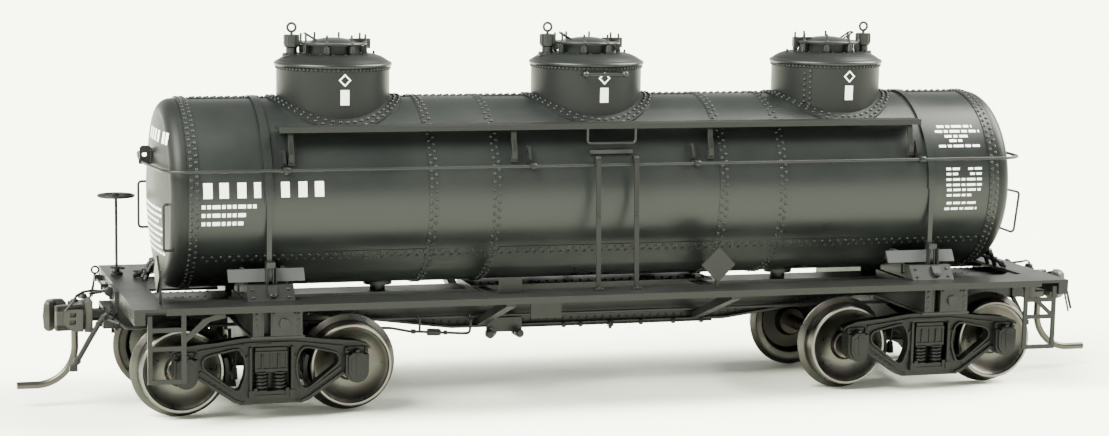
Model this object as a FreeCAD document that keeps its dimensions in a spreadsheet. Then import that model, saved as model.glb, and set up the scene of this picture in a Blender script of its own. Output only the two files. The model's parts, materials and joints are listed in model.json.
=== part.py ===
import FreeCAD, Part
import math
import os
import re

import Sketcher
from FreeCAD import Placement, Rotation, Vector

# A model tank wagon: a riveted three-dome tank strapped to a deep steel underframe, on two
# four-wheel trucks. Millimetres. X runs along the wagon, Y across it and Z up from the table;
# the origin is under the middle. "b" names the handbrake end (-X) and "a" the other end (+X).

DIMENSIONS = {
    # tank and domes
    "tank_radius": (10.8, "outer radius of the tank shell"),
    "tank_axis": (24.35, "height of the tank axis"),
    "tank_wall": (0.5, "thickness of shell and heads"),
    "shell_half": (49.0, "half length of the rolled shell"),
    "head_flange": (49.3, "where a head's straight flange ends"),
    "head_crown": (51.8, "outermost point of a head"),
    "knuckle_radius": (1.6, "bend between a head's flange and its crown"),
    "crown_radius": (42.8, "dish radius of a head"),
    "ballast_half": (42.0, "half length of the ballast bar"),
    "ballast_width": (12.0, "width of the ballast bar"),
    "ballast_height": (8.0, "height of the ballast bar"),
    "dome_pitch": (30.63, "distance from the middle dome to an outer dome"),
    "dome_radius": (6.53, "outer radius of a dome's wall"),
    "dome_flange": (7.9, "radius of a dome's riveted flange on the shell"),
    "dome_lip": (38.98, "height of the middle of a dome's rim band"),
    "dome_crown": (40.05, "height of the dome cap at the manway"),
    "cap_radius": (3.6, "dish radius of a dome cap"),
    "manway_radius": (3.3, "outer radius of the manway neck"),
    "manway_top": (41.1, "top of the manway neck"),
    "lid_radius": (3.6, "radius of the manway lid"),
    "lid_crown": (41.95, "top of the domed lid"),
    "valve_offset": (4.85, "distance from the dome axis to the safety valve"),
    "valve_radius": (0.88, "radius of the safety valve's cap"),
    "valve_top": (42.3, "top of the safety valve's cap"),
    "loop_top": (43.75, "top of the valve's lifting loop"),
    "loop_radius": (0.48, "radius of the lifting loop"),
    "strap_width": (0.9, "width of a tank band"),
    "strap_gauge": (0.24, "thickness of a tank band"),
    # underframe
    "frame_half": (55.85, "half length over the end sills"),
    "frame_side": (16.34, "half width over the side sills"),
    "frame_top": (13.75, "height of the deck"),
    "deck_width": (5.0, "width of a side deck"),
    "deck_gauge": (0.35, "thickness of deck plates and sill flanges"),
    "sill_depth": (0.75, "depth of a side sill's face"),
    "end_plate": (3.5, "width of an end sill's top plate"),
    "end_web": (1.2, "thickness of an end sill's web"),
    "end_depth": (1.75, "depth of an end sill"),
    "spine_side": (2.2, "half width over the centre sill's webs"),
    "spine_slot": (1.8, "half width between the centre sill's webs"),
    "cover_side": (3.2, "half width of the centre sill's bottom plate"),
    "cover_gauge": (0.3, "thickness of the top cover plate"),
    "cover_top": (12.55, "top of the cover plate"),
    "table_side": (4.4, "half width of the raised plate over the middle of the centre sill"),
    "table_half": (15.0, "half length of the raised plate"),
    "table_top": (13.3, "top of the raised plate"),
    "belly_low": (8.1, "underside of the deep middle of the centre sill"),
    "belly_half": (17.0, "half length of the deep middle"),
    "spine_low": (10.3, "underside of the centre sill at the bolsters"),
    "taper_end": (34.0, "where the centre sill's taper ends"),
    "draft_back": (48.0, "where the centre sill steps up over the draft box"),
    "draft_top": (11.8, "top of the draft box"),
    "bolster_half": (2.75, "half width of a body bolster"),
    "bolster_plate": (10.0, "underside of a body bolster's bottom plate"),
    "bearer_place": (13.5, "distance of a crossbearer from the middle"),
    "saddle_face": (12.3, "distance of a saddle casting's face from the centre line"),
    "saddle_foot": (13.6, "distance of its foot from the centre line"),
    "saddle_half": (2.65, "half length of a saddle casting"),
    "saddle_top": (15.4, "top of a saddle casting"),
    "board_half": (4.3, "half length of a saddle board"),
    "board_low": (15.65, "lower edge of a saddle board"),
    "board_top": (16.95, "top of a saddle board"),
    # walkways, rails and ladders
    "walk_edge": (10.06, "distance of a running board's outer edge from the centre line"),
    "walk_inner": (7.75, "distance of a running board's inner edge from the centre line"),
    "walk_top": (32.61, "top of a running board"),
    "walk_gauge": (0.35, "thickness of a running board"),
    "walk_half": (38.82, "half length of a running board"),
    "rail_side": (11.8, "distance of the handrail from the centre line"),
    "rail_end": (52.66, "distance of the handrail from the middle at the ends"),
    "rail_turn": (51.6, "distance from the middle of the corners the handrail is bent round"),
    "rail_sweep": (44.0, "radius of the handrail's bow round a head"),
    "rail_height": (28.0, "height of the handrail"),
    "rail_bend": (3.0, "radius of the handrail's corners"),
    "rail_wire": (0.19, "radius of the handrail wire"),
    "fine_wire": (0.15, "radius of grab irons, loops and rods"),
    "stile_place": (2.3, "distance of a ladder stile from the middle"),
    "stile_width": (0.56, "width of a ladder stile"),
    "stile_gauge": (0.25, "thickness of a ladder stile"),
    # trucks and wheels
    "truck_centre": (40.1, "distance of a kingpin from the middle"),
    "half_base": (9.625, "distance of an axle from its kingpin"),
    "flange_radius": (5.53, "radius over a wheel's flange, and height of the axles"),
    "tread_radius": (4.81, "radius of a wheel's tread"),
    "wheel_inner": (7.22, "distance of a wheel's back from the centre line"),
    "wheel_outer": (10.01, "distance of a wheel's front from the centre line"),
    "axle_radius": (0.8, "radius of an axle between its wheels"),
    "journal_radius": (0.5, "radius of an axle's journal"),
    "journal_end": (12.3, "distance of an axle's tip from the centre line"),
    "journal_play": (0.06, "radial clearance of a journal in its box"),
    "frame_inner": (10.75, "distance of a sideframe's back from the centre line"),
    "frame_outer": (12.3, "distance of a sideframe's face from the centre line"),
    "pin_radius": (0.7, "radius of a kingpin screw"),
    "pin_play": (0.05, "radial clearance round a kingpin"),
    # couplers
    "pivot_place": (52.6, "distance of a coupler's pivot from the middle"),
    "draft_end": (57.5, "outer end of a draft box"),
    "draft_side": (2.25, "half width of a draft box"),
    "draft_low": (9.3, "underside of a draft box"),
    "coupler_height": (10.6, "height of the coupler shank's middle"),
    "shank_half": (0.65, "half height and half width of a coupler's shank"),
    "knuckle_place": (60.4, "distance of a knuckle's hinge from the middle"),
    "knuckle_side": (0.9, "distance of a knuckle's hinge from the centre line"),
    "pin_wire": (0.36, "radius of a trip pin"),
}

doc = FreeCAD.newDocument("TankWagon")
sheet = doc.addObject("Spreadsheet::Sheet", "Dimensions")
for row, (alias, (number, meaning)) in enumerate(DIMENSIONS.items(), start=1):
    sheet.set(f"A{row}", meaning)
    sheet.set(f"B{row}", str(number))
    sheet.setAlias(f"B{row}", alias)
doc.recompute()

nodes = {}


# ---- small tools for building pieces whose sizes are bound to the sheet ----

def formula(text):
    """An expression in which every dimension's name points at its cell."""
    return re.sub(r"[a-z_]{3,}", lambda word: "Dimensions." + word.group(0)
                  if word.group(0) in DIMENSIONS else word.group(0), str(text))


def number(text):
    """The present value of an expression over the sheet."""
    return float(sheet.evalExpression(formula(text)))


def bind(item, path, text):
    """Bind one property of an object to an expression over the sheet."""
    item.setExpression(path, formula(text))


def place(item, where):
    for letter, text in zip("xyz", where):
        bind(item, f"Placement.Base.{letter}", text)


def box(name, low, high):
    """A block between two corners, each given as expressions."""
    item = doc.addObject("Part::Box", name)
    for side, start, end in zip(("Length", "Width", "Height"), low, high):
        bind(item, side, f"({end}) - ({start})")
    place(item, low)
    return item


AXES = {
    "x": Rotation(Vector(0, 1, 0), 90),
    "y": Rotation(Vector(1, 0, 0), -90),
    "z": Rotation(),
}


def rod(name, radius, start, axis, length):
    """A round bar from a point along +X, +Y or +Z."""
    item = doc.addObject("Part::Cylinder", name)
    item.Placement = Placement(Vector(), AXES[axis])
    bind(item, "Radius", radius)
    bind(item, "Height", length)
    place(item, start)
    return item


def joined(name, *pieces):
    item = doc.addObject("Part::MultiFuse", name)
    item.Shapes = list(pieces)
    return item


def less(name, base, tool):
    item = doc.addObject("Part::Cut", name)
    item.Base = base
    item.Tool = tool
    return item


def shared(name, base, tool):
    item = doc.addObject("Part::Common", name)
    item.Base = base
    item.Tool = tool
    return item


def group(name, *pieces):
    item = doc.addObject("Part::Compound", name)
    item.Links = list(pieces)
    return item


def mirrored(name, source, normal):
    """The same piece on the other side of a plane through the origin."""
    item = doc.addObject("Part::Mirroring", name)
    item.Source = source
    item.Normal = Vector(*normal)
    return item


def turned(name, source):
    """The same piece at the other end: half a turn about Z."""
    item = group(name, source)
    item.Placement = Placement(Vector(), Rotation(Vector(0, 0, 1), 180))
    return item


def moved(name, source, x="0", y="0", z="0"):
    item = group(name, source)
    place(item, (x, y, z))
    return item


def both_sides(name, source):
    return group(name, source, mirrored(name + "_twin", source, (0, 1, 0)))


def both_ends(name, source):
    return group(name, source, turned(name + "_turned", source))


def node(name, item):
    """Name an object as a sub-part that is written out."""
    item.Label = name
    nodes[name] = item
    return item


# ---- PartDesign bodies ----

def new_body(name):
    return doc.addObject("PartDesign::Body", name)


def plane_of(body, role):
    for feature in body.Origin.OriginFeatures:
        if feature.Role == role:
            return feature
    raise ValueError(role)


def pin_point(sketch, edge, end, x_text, y_text):
    """Hold one end of an edge at a place bound to the sheet."""
    for kind, text, axis in (("DistanceX", x_text, -2), ("DistanceY", y_text, -1)):
        amount = number(text)
        if abs(amount) < 1e-9:
            sketch.addConstraint(Sketcher.Constraint("PointOnObject", edge, end, axis))
        else:
            index = sketch.addConstraint(Sketcher.Constraint(kind, -1, 1, edge, end, amount))
            sketch.setExpression(f"Constraints[{index}]", formula(text))


def arc_between(start, end, radius):
    """A counterclockwise arc for a positive radius, clockwise for a negative one."""
    chord = end - start
    middle = (start + end) * 0.5
    left = Vector(-chord.y, chord.x, 0).normalize()
    rise = math.sqrt(max(radius ** 2 - chord.Length ** 2 / 4, 0))
    centre = middle + left * (rise if radius > 0 else -rise)
    first, last = (start, end) if radius > 0 else (end, start)
    angles = [math.atan2(point.y - centre.y, point.x - centre.x) for point in (first, last)]
    circle = Part.Circle(centre, Vector(0, 0, 1), abs(radius))
    return Part.ArcOfCircle(circle, angles[0], angles[1])


def outline(body, role, corners, bends=None):
    """A closed sketch through corners; bends gives an edge's radius where it is an arc."""
    bends = bends or {}
    sketch = body.newObject("Sketcher::SketchObject", body.Name + "_sketch")
    sketch.AttachmentSupport = [(plane_of(body, role), "")]
    sketch.MapMode = "FlatFace"
    points = [Vector(number(x), number(y), 0) for x, y in corners]
    starts = []
    for edge, start in enumerate(points):
        end = points[(edge + 1) % len(points)]
        if edge in bends:
            sketch.addGeometry(arc_between(start, end, number(bends[edge])), False)
            starts.append(1 if number(bends[edge]) > 0 else 2)
        else:
            sketch.addGeometry(Part.LineSegment(start, end), False)
            starts.append(1)
    for edge, (x_text, y_text) in enumerate(corners):
        before = (edge - 1) % len(corners)
        sketch.addConstraint(Sketcher.Constraint(
            "Coincident", before, 3 - starts[before], edge, starts[edge]))
        pin_point(sketch, edge, starts[edge], x_text, y_text)
    for edge, radius in bends.items():
        index = sketch.addConstraint(Sketcher.Constraint("Radius", edge, abs(number(radius))))
        sketch.setExpression(f"Constraints[{index}]", formula(f"abs({radius})"))
    return sketch


def pad(body, sketch, length, symmetric=True):
    feature = body.newObject("PartDesign::Pad", body.Name + "_pad")
    feature.Profile = sketch
    bind(feature, "Length", length)
    feature.SideType = "Symmetric" if symmetric else "One side"
    body.Tip = feature
    return feature


def pocket(body, sketch, length):
    """A symmetric cut on both sides of the sketch's plane."""
    feature = body.newObject("PartDesign::Pocket", body.Name + "_pocket")
    feature.Profile = sketch
    bind(feature, "Length", length)
    feature.SideType = "Symmetric"
    body.Tip = feature
    return feature


def revolve(body, sketch, axis):
    feature = body.newObject("PartDesign::Revolution", body.Name + "_turned")
    feature.Profile = sketch
    feature.ReferenceAxis = (sketch, [axis])
    feature.Angle = 360
    body.Tip = feature
    return feature


def turning(name, role, axis, corners, bends=None):
    """A turned piece: a profile revolved about one of its sketch's axes."""
    body = new_body(name)
    revolve(body, outline(body, role, corners, bends), axis)
    return body


def slab(name, role, corners, length, bends=None):
    """A flat profile padded to both sides of its plane."""
    body = new_body(name)
    pad(body, outline(body, role, corners, bends), length)
    return body


# ---- bent wire ----

def rounded_path(points, radii):
    """Straight runs joined by tangent arcs, one radius for each corner."""
    edges = []
    last = points[0]
    for before, corner, after, radius in zip(points, points[1:], points[2:], radii):
        back = (before - corner).normalize()
        onward = (after - corner).normalize()
        turn = math.pi - back.getAngle(onward)
        reach = radius * math.tan(turn / 2)
        start = corner + back * reach
        end = corner + onward * reach
        inward = (back + onward).normalize()
        middle = corner + inward * (radius / math.cos(turn / 2) - radius)
        if (start - last).Length > 1e-6:
            edges.append(Part.LineSegment(last, start).toShape())
        edges.append(Part.Arc(start, middle, end).toShape())
        last = end
    edges.append(Part.LineSegment(last, points[-1]).toShape())
    return Part.Wire(edges)


def wire(name, points, bends, thickness):
    """A round wire bent along points given as expressions; bends is one radius or one per corner."""
    route = [Vector(*(number(text) for text in point)) for point in points]
    radius = number(thickness)
    if isinstance(bends, str):
        bends = [bends] * (len(points) - 2)
    path = rounded_path(route, [number(text) for text in bends])
    heading = (route[1] - route[0]).normalize()
    section = Part.Wire([Part.Circle(route[0], heading, radius).toShape()])
    item = doc.addObject("Part::Feature", name)
    item.Shape = path.makePipeShell([section], True, False)
    return item


# ---- tank ----

def build_tank():
    bore = "tank_radius - tank_wall"
    shell = turning("tank_shell_body", "XZ_Plane", "H_Axis", [
        ("-shell_half", bore), ("shell_half", bore),
        ("shell_half", "tank_radius"), ("-shell_half", "tank_radius")])
    place(shell, ("0", "0", "tank_axis"))
    openings = [rod(f"dome_hole_{index}", "dome_radius - 1.2", (f"{index} * dome_pitch", "0", "tank_axis"),
                    "z", "tank_radius + 1") for index in (-1, 0, 1)]
    node("tank_shell", less("tank_shell_cut", shell, joined("dome_holes", *openings)))

    edge = "tank_radius - knuckle_radius"
    start = "head_crown - 0.9"
    head = turning("tank_head_body", "XZ_Plane", "H_Axis", [
        ("shell_half", "tank_radius"), ("head_flange", "tank_radius"), (start, edge), ("head_crown", "0"),
        ("head_crown - tank_wall", "0"), (f"{start} - tank_wall", f"{edge} - 0.1"),
        ("head_flange - 0.1", bore), ("shell_half", bore)],
        {1: "-knuckle_radius", 2: "-crown_radius", 4: "crown_radius", 5: "knuckle_radius - 0.3"})
    place(head, ("0", "0", "tank_axis"))
    node("tank_head_a", head)
    node("tank_head_b", turned("tank_head_turned", head))

    base = "tank_axis - sqrt((tank_radius - tank_wall) ^ 2 - (ballast_width / 2) ^ 2) + 0.01"
    node("ballast_weight", box(
        "ballast", ("-ballast_half", "-ballast_width / 2", base),
        ("ballast_half", "ballast_width / 2", f"{base} + ballast_height")))


def dome_base(name):
    """The flange that a dome's wall is riveted to, rolled to the shell."""
    outer = rod(name + "_outer", "tank_radius + 0.17", ("-dome_flange", "0", "tank_axis"), "x",
                "2 * dome_flange")
    inner = rod(name + "_inner", "tank_radius + 0.02", ("-dome_flange - 1", "0", "tank_axis"), "x",
                "2 * dome_flange + 2")
    disc = rod(name + "_disc", "dome_flange", ("0", "0", "tank_axis"), "z", "tank_radius + 2")
    return shared(name, less(name + "_sheet", outer, inner), disc)


def build_domes():
    wall = "dome_radius - 0.4"
    cap = turning("dome_body", "XZ_Plane", "V_Axis", [
        ("dome_radius", "tank_axis + 5"), ("dome_radius", "dome_lip - 0.25"),
        ("dome_radius + 0.19", "dome_lip - 0.2"), ("dome_radius + 0.19", "dome_lip + 0.2"),
        ("dome_radius - 0.1", "dome_lip + 0.35"), ("manway_radius", "dome_crown"),
        ("manway_radius", "manway_top"), ("manway_radius - 0.5", "manway_top"),
        ("manway_radius - 0.5", "dome_crown - 0.5"), (wall, "dome_lip - 0.1"), (wall, "tank_axis + 5")],
        {4: "cap_radius"})
    reach = rod("dome_reach", "tank_radius + 0.02", ("-dome_radius - 1", "0", "tank_axis"), "x",
                "2 * dome_radius + 2")
    base_bore = rod("dome_bore", wall, ("0", "0", "tank_axis"), "z", "dome_lip - tank_axis - 0.5")
    foot = less("dome_foot", dome_base("dome_flange_plate"), base_bore)
    dome = joined("dome_whole", less("dome_trimmed", cap, reach), foot)
    for letter, side in (("b", "-1"), ("c", "0"), ("a", "1")):
        node(f"dome_{letter}", moved(f"dome_at_{letter}", dome, x=f"{side} * dome_pitch"))


def build_lids():
    seat = "manway_top + 0.02"
    lid = turning("lid_body", "XZ_Plane", "V_Axis", [
        ("0", seat), ("lid_radius", seat), ("lid_radius", "manway_top + 0.32"),
        ("lid_radius - 0.75", "manway_top + 0.36"), ("0", "lid_crown")], {3: "7"})
    lid.Placement = Placement(Vector(), Rotation(Vector(0, 0, 1), 90))
    arm = box("lid_arm", ("1.9", "-0.3", "manway_top + 0.2"),
              ("lid_radius + 0.75", "0.3", "lid_crown - 0.1"))
    drop = box("lid_arm_drop", ("lid_radius + 0.1", "-0.3", "manway_top - 0.4"),
               ("lid_radius + 0.75", "0.3", "manway_top + 0.3"))
    whole = joined("lid_whole", lid, arm, drop)
    bolts = []
    for index in range(8):
        lug = box(f"lug_{index}", ("manway_radius + 0.02", "-0.32", "manway_top - 0.75"),
                  ("manway_radius + 0.65", "0.32", "manway_top - 0.05"))
        bolt = rod(f"eyebolt_{index}", "0.13", ("lid_radius + 0.16", "0", "manway_top - 0.2"), "z", "1.5")
        notch = joined(f"lug_bolt_{index}", lug, bolt)
        angle = 22.5 + 45 * index
        ring = group(f"bolt_at_{index}", notch)
        ring.Placement = Placement(Vector(), Rotation(Vector(0, 0, 1), angle))
        bolts.append(ring)
    grip = wire("lid_handle", [("-1.9", "-0.5", "lid_crown - 0.35"), ("-3.3", "-0.5", "lid_crown + 0.5"),
                               ("-3.3", "0.5", "lid_crown + 0.5"), ("-1.9", "0.5", "lid_crown - 0.35")],
                "0.2", "0.11")
    lid_set = group("lid_set", whole, less("lid_grip", grip, lid))
    bolt_set = group("bolt_set", *bolts)
    lids = []
    sets = []
    for letter, side, angle in (("b", "-1", 0), ("c", "0", 0), ("a", "1", 180)):
        for source, store in ((lid_set, lids), (bolt_set, sets)):
            item = group(f"{source.Name}_{letter}", source)
            item.Placement = Placement(Vector(), Rotation(Vector(0, 0, 1), angle))
            place(item, (f"{side} * dome_pitch", "0", "0"))
            store.append(item)
    node("manway_lids", group("all_lids", *lids))
    node("manway_eyebolts", group("all_eyebolts", *sets))


def build_valves():
    base = "dome_crown - 0.62"
    valve = turning("valve_body", "XZ_Plane", "V_Axis", [
        ("0", base), ("1.1", base), ("1.1", "dome_crown + 0.02"), ("0.66", "dome_crown + 0.14"),
        ("0.66", "valve_top - 1.5"), ("valve_radius", "valve_top - 1.35"), ("valve_radius", "valve_top"),
        ("0", "valve_top")])
    loop = doc.addObject("Part::Torus", "valve_loop")
    bind(loop, "Radius1", "loop_radius")
    bind(loop, "Radius2", "0.15")
    loop.Placement = Placement(Vector(), AXES["y"])
    place(loop, ("0", "0", "loop_top - loop_radius - 0.15"))
    stem = rod("valve_stem", "0.16", ("0", "0", "valve_top - 0.1"), "z",
               "loop_top - 2 * loop_radius - valve_top")
    whole = joined("valve_whole", valve, stem, loop)
    cap = turning("valve_seat", "XZ_Plane", "V_Axis", [
        ("0", "dome_lip - 1"), ("dome_radius - 0.08", "dome_lip - 1"),
        ("dome_radius - 0.08", "dome_lip + 0.37"),
        ("manway_radius", "dome_crown + 0.02"), ("0", "dome_crown + 0.02")], {2: "cap_radius"})
    valves = []
    for letter, dome, side in (("b", "-dome_pitch", "-1"), ("c", "0", "-1"), ("a", "dome_pitch", "1")):
        stood = moved(f"valve_{letter}", whole, x=f"{dome} + {side} * valve_offset")
        seat = moved(f"valve_seat_{letter}", cap, x=dome)
        valves.append(less(f"valve_fitted_{letter}", stood, seat))
    node("safety_valves", group("all_valves", *valves))


def build_straps():
    gap = "tank_radius + 0.02"
    outer = rod("strap_outer", f"{gap} + strap_gauge", ("-strap_width / 2", "0", "tank_axis"), "x",
                "strap_width")
    inner = rod("strap_inner", gap, ("-strap_width", "0", "tank_axis"), "x", "2 * strap_width")
    below = box("strap_below", ("-2", "-tank_radius - 2", "tank_axis - tank_radius - 2"),
                ("2", "tank_radius + 2", "tank_axis"))
    arch = less("strap_arch", less("strap_ring", outer, inner), below)
    leg = box("strap_leg", ("-0.28", f"{gap}", "17.75"), ("0.28", f"{gap} + 0.16", "tank_axis + 0.01"))
    shoe = box("strap_shoe", ("-0.5", f"{gap} + 0.0", "17.2"), ("0.5", "saddle_face - 0.35", "17.8"))
    half = joined("strap_half", leg, shoe)
    band = joined("strap_band", arch, half, mirrored("strap_half_twin", half, (0, 1, 0)))
    rods = [rod(f"strap_rod_{index}", "fine_wire", (f"{x}", "saddle_face - 0.6", "saddle_top + 0.02"), "z",
                "17.2 - saddle_top - 0.04") for index, x in enumerate((-0.33, 0.33))]
    nut = slab("strap_nut", "YZ_Plane", [
        ("saddle_face + 0.15", "saddle_top - 0.1"), ("saddle_face + 0.5", "saddle_top - 0.1"),
        ("saddle_face + 1.1", "saddle_top - 0.85"), ("saddle_face + 0.75", "saddle_top - 0.85")], "1.0")
    buckle = both_sides("strap_rods", group("strap_rod_pair", *rods, nut))
    node("tank_straps", group("both_bands", moved("band_b", band, x="-truck_centre"),
                              moved("band_a", band, x="truck_centre")))
    node("strap_turnbuckles", group("both_buckles", moved("buckle_b", buckle, x="-truck_centre"),
                                    moved("buckle_a", buckle, x="truck_centre")))


# ---- underframe ----

def build_centre_sill():
    body = new_body("centre_sill_body")
    under = [("draft_back", "draft_top + 0.02"), ("draft_back", "spine_low"), ("taper_end", "spine_low"),
             ("belly_half", "belly_low")]
    ends = [("frame_half - end_web - 0.02", "cover_top - cover_gauge"),
            ("frame_half - end_web - 0.02", "draft_top + 0.02")]
    right = ends + under
    left = [(f"-({x})", z) for x, z in reversed(right)]
    pad(body, outline(body, "XZ_Plane", right + left), "2 * spine_side")
    strip = [("taper_end", "spine_low"), ("belly_half", "belly_low"),
             ("-belly_half", "belly_low"), ("-taper_end", "spine_low"),
             ("-taper_end", "spine_low + 0.25"), ("-belly_half", "belly_low + 0.25"),
             ("belly_half", "belly_low + 0.25"), ("taper_end", "spine_low + 0.25")]
    pad(body, outline(body, "XZ_Plane", strip), "2 * cover_side")
    cover = [("frame_half - end_web - 0.02", "cover_top - cover_gauge"),
             ("frame_half - end_web - 0.02", "cover_top"),
             ("end_web + 0.02 - frame_half", "cover_top"),
             ("end_web + 0.02 - frame_half", "cover_top - cover_gauge")]
    pad(body, outline(body, "XZ_Plane", cover), "2 * spine_side")
    riser = [("table_half", "cover_top - 0.1"), ("table_half", "table_top"),
             ("-table_half", "table_top"), ("-table_half", "cover_top - 0.1")]
    pad(body, outline(body, "XZ_Plane", riser), "2 * spine_side")
    table = [("table_half", "table_top - 0.22"), ("table_half", "table_top"),
             ("-table_half", "table_top"), ("-table_half", "table_top - 0.22")]
    pad(body, outline(body, "XZ_Plane", table), "2 * table_side")
    hollow = [("frame_half", "5"), ("frame_half", "cover_top - cover_gauge"),
              ("-frame_half", "cover_top - cover_gauge"), ("-frame_half", "5")]
    pocket(body, outline(body, "XZ_Plane", hollow), "2 * spine_slot")
    node("centre_sill", body)


def build_side_sills():
    inner = "frame_side - deck_width"
    profile = [(inner, "frame_top - deck_gauge"), ("frame_side - deck_gauge", "frame_top - deck_gauge"),
               ("frame_side - deck_gauge", "frame_top - sill_depth"),
               ("frame_side", "frame_top - sill_depth"),
               ("frame_side", "frame_top"), (inner, "frame_top")]
    sill = slab("side_sill_body", "YZ_Plane", profile, "2 * (frame_half - end_plate - 0.01)")
    node("side_sill_l", sill)
    node("side_sill_r", mirrored("side_sill_twin", sill, (0, 1, 0)))


def build_end_sills():
    inner = "frame_half - end_plate"
    profile = [(inner, "frame_top"), (inner, "frame_top - deck_gauge"),
               ("frame_half - end_web", "frame_top - deck_gauge"),
               ("frame_half - end_web", "frame_top - end_depth"),
               ("frame_half", "frame_top - end_depth"), ("frame_half", "frame_top")]
    sill = slab("end_sill_body", "XZ_Plane", profile, "2 * frame_side")
    gap = box("end_sill_gap", ("frame_half - end_web - 1", "-draft_side - 0.1", "frame_top - end_depth - 1"),
              ("frame_half + 1", "draft_side + 0.1", "draft_top + 0.05"))
    striker = box("striker", ("frame_half - 0.01", "-draft_side - 0.6", "draft_top + 0.1"),
                  ("frame_half + 0.4", "draft_side + 0.6", "frame_top - 0.15"))
    node("end_sill_a", joined("end_sill_whole", less("end_sill_cut", sill, gap), striker))
    node("end_sill_b", turned("end_sill_turned", nodes["end_sill_a"]))


def build_bolsters():
    wing = box("bolster_wing", ("-bolster_half", "spine_side + 0.02", "bolster_plate + 0.3"),
               ("bolster_half", "frame_side - deck_gauge - 0.02", "frame_top - deck_gauge - 0.02"))
    slot = box("bolster_slot", ("-1.55", "frame_side - 1.6", "bolster_plate + 0.3"),
               ("-0.8", "frame_side", "frame_top"))
    boss = rod("bolster_boss", "0.58", ("0.75", "frame_side - 0.5", "bolster_plate + 1.6"), "y", "0.45")
    arm = joined("bolster_arm", less("bolster_wing_cut", wing, slot), boss)
    far = mirrored("bolster_arm_far", arm, (0, 1, 0))
    plate = box("bolster_tie", ("-bolster_half - 0.2", "-frame_side + 0.5", "bolster_plate"),
                ("bolster_half + 0.2", "frame_side - 0.5", "bolster_plate + 0.3"))
    centre = rod("centre_plate", "2", ("0", "0", "bolster_plate - 0.25"), "z", "0.3")
    block = box("pin_block", ("-1.6", "-spine_slot + 0.02", "bolster_plate + 0.29"),
                ("1.6", "spine_slot - 0.02", "cover_top - cover_gauge - 0.02"))
    hole = rod("pin_hole", "pin_radius + 0.01", ("0", "0", "bolster_plate - 1"), "z", "3")
    whole = less("bolster_bored", joined("bolster_whole", arm, far, plate, centre, block), hole)
    node("body_bolster_a", moved("bolster_at_a", whole, x="truck_centre"))
    node("body_bolster_b", moved("bolster_at_b", whole, x="-truck_centre"))

    head = rod("pin_head", "1.25", ("0", "0", "5.75"), "z", "0.7")
    shank = rod("pin_shank", "pin_radius", ("0", "0", "6.4"), "z", "bolster_plate + 1.9 - 6.4")
    screw = joined("pin_whole", head, shank)
    driver = box("pin_slot", ("-1.3", "-0.15", "5.7"), ("1.3", "0.15", "6.0"))
    screw = less("pin_slotted", screw, driver)
    node("kingpin_screws", both_ends("both_pins", moved("pin_at_a", screw, x="truck_centre")))


def build_saddles():
    side = [("saddle_foot", "frame_top + 0.02"), ("saddle_face", "saddle_top"),
            ("-saddle_face", "saddle_top"), ("-saddle_foot", "frame_top + 0.02")]
    body = slab("saddle_body", "YZ_Plane", side, "2 * saddle_half")
    middle = box("saddle_middle", ("-4", "-4.5", "frame_top - 1"), ("4", "4.5", "saddle_top + 1"))
    tank = rod("saddle_tank", "tank_radius + 0.03", ("-6", "0", "tank_axis"), "x", "12")
    casting = less("saddle_cut", body, joined("saddle_void", middle, tank))
    node("tank_saddles", group("all_saddles", moved("saddle_at_b", casting, x="-truck_centre - 0.2"),
                               moved("saddle_at_a", casting, x="truck_centre - 0.55")))

    face = [("saddle_face - 0.8", "board_low"), ("saddle_face - 1.6", "board_top"),
            ("saddle_face - 1.9", "board_top"), ("saddle_face - 1.1", "board_low")]
    plank = slab("board_body", "YZ_Plane", face, "2 * board_half")
    rib = slab("board_rib", "YZ_Plane", [
        ("saddle_face - 1.0", "saddle_top + 0.02"), ("saddle_face - 1.0", "board_low + 0.1"),
        ("saddle_face - 1.75", "board_top - 0.1"), ("saddle_face - 4.4", "board_top - 0.1"),
        ("saddle_face - 6.3", "saddle_top + 0.02")], "0.3")
    tank_clear = rod("board_tank", "tank_radius + 0.03", ("-6", "0", "tank_axis"), "x", "12")
    ribs = [less(f"board_rib_cut_{index}", moved(f"board_rib_{index}", rib, x=x), tank_clear)
            for index, x in enumerate(("-2.3", "2.3"))]
    fitted = both_sides("board_pair", joined("board_whole", plank, *ribs))
    node("saddle_boards", group("all_saddle_boards", moved("board_at_b", fitted, x="-truck_centre - 0.37"),
                                moved("board_at_a", fitted, x="truck_centre - 1.2")))


def build_crossbearers():
    start_y, start_z = "spine_side + 0.02", "belly_low + 0.3"
    corners = [(start_y, start_z), ("cover_side + 0.3", start_z),
               ("frame_side - 0.4", "frame_top - sill_depth - 0.35"),
               ("frame_side - 0.4", "frame_top - deck_gauge - 0.02"),
               (start_y, "frame_top - deck_gauge - 0.42"),
               (start_y, "frame_top - deck_gauge - 0.8"),
               ("frame_side - 2.6", "frame_top - deck_gauge - 0.42"),
               ("cover_side + 0.1", "belly_low + 1.0"), (start_y, "belly_low + 1.0")]
    bearer = slab("bearer_body", "YZ_Plane", corners, "1.1")
    lower = box("bearer_notch", ("-2", "0", "belly_low - 1"), ("2", "cover_side + 0.05", "belly_low + 0.3"))
    trimmed = less("bearer_cut", bearer, lower)
    pair = both_sides("bearer_pair", trimmed)
    node("crossbearers", group("all_bearers", moved("bearer_a", pair, x="bearer_place"),
                               moved("bearer_b", pair, x="-bearer_place")))


# ---- walkways, rails, ladders and small fittings ----

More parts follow.
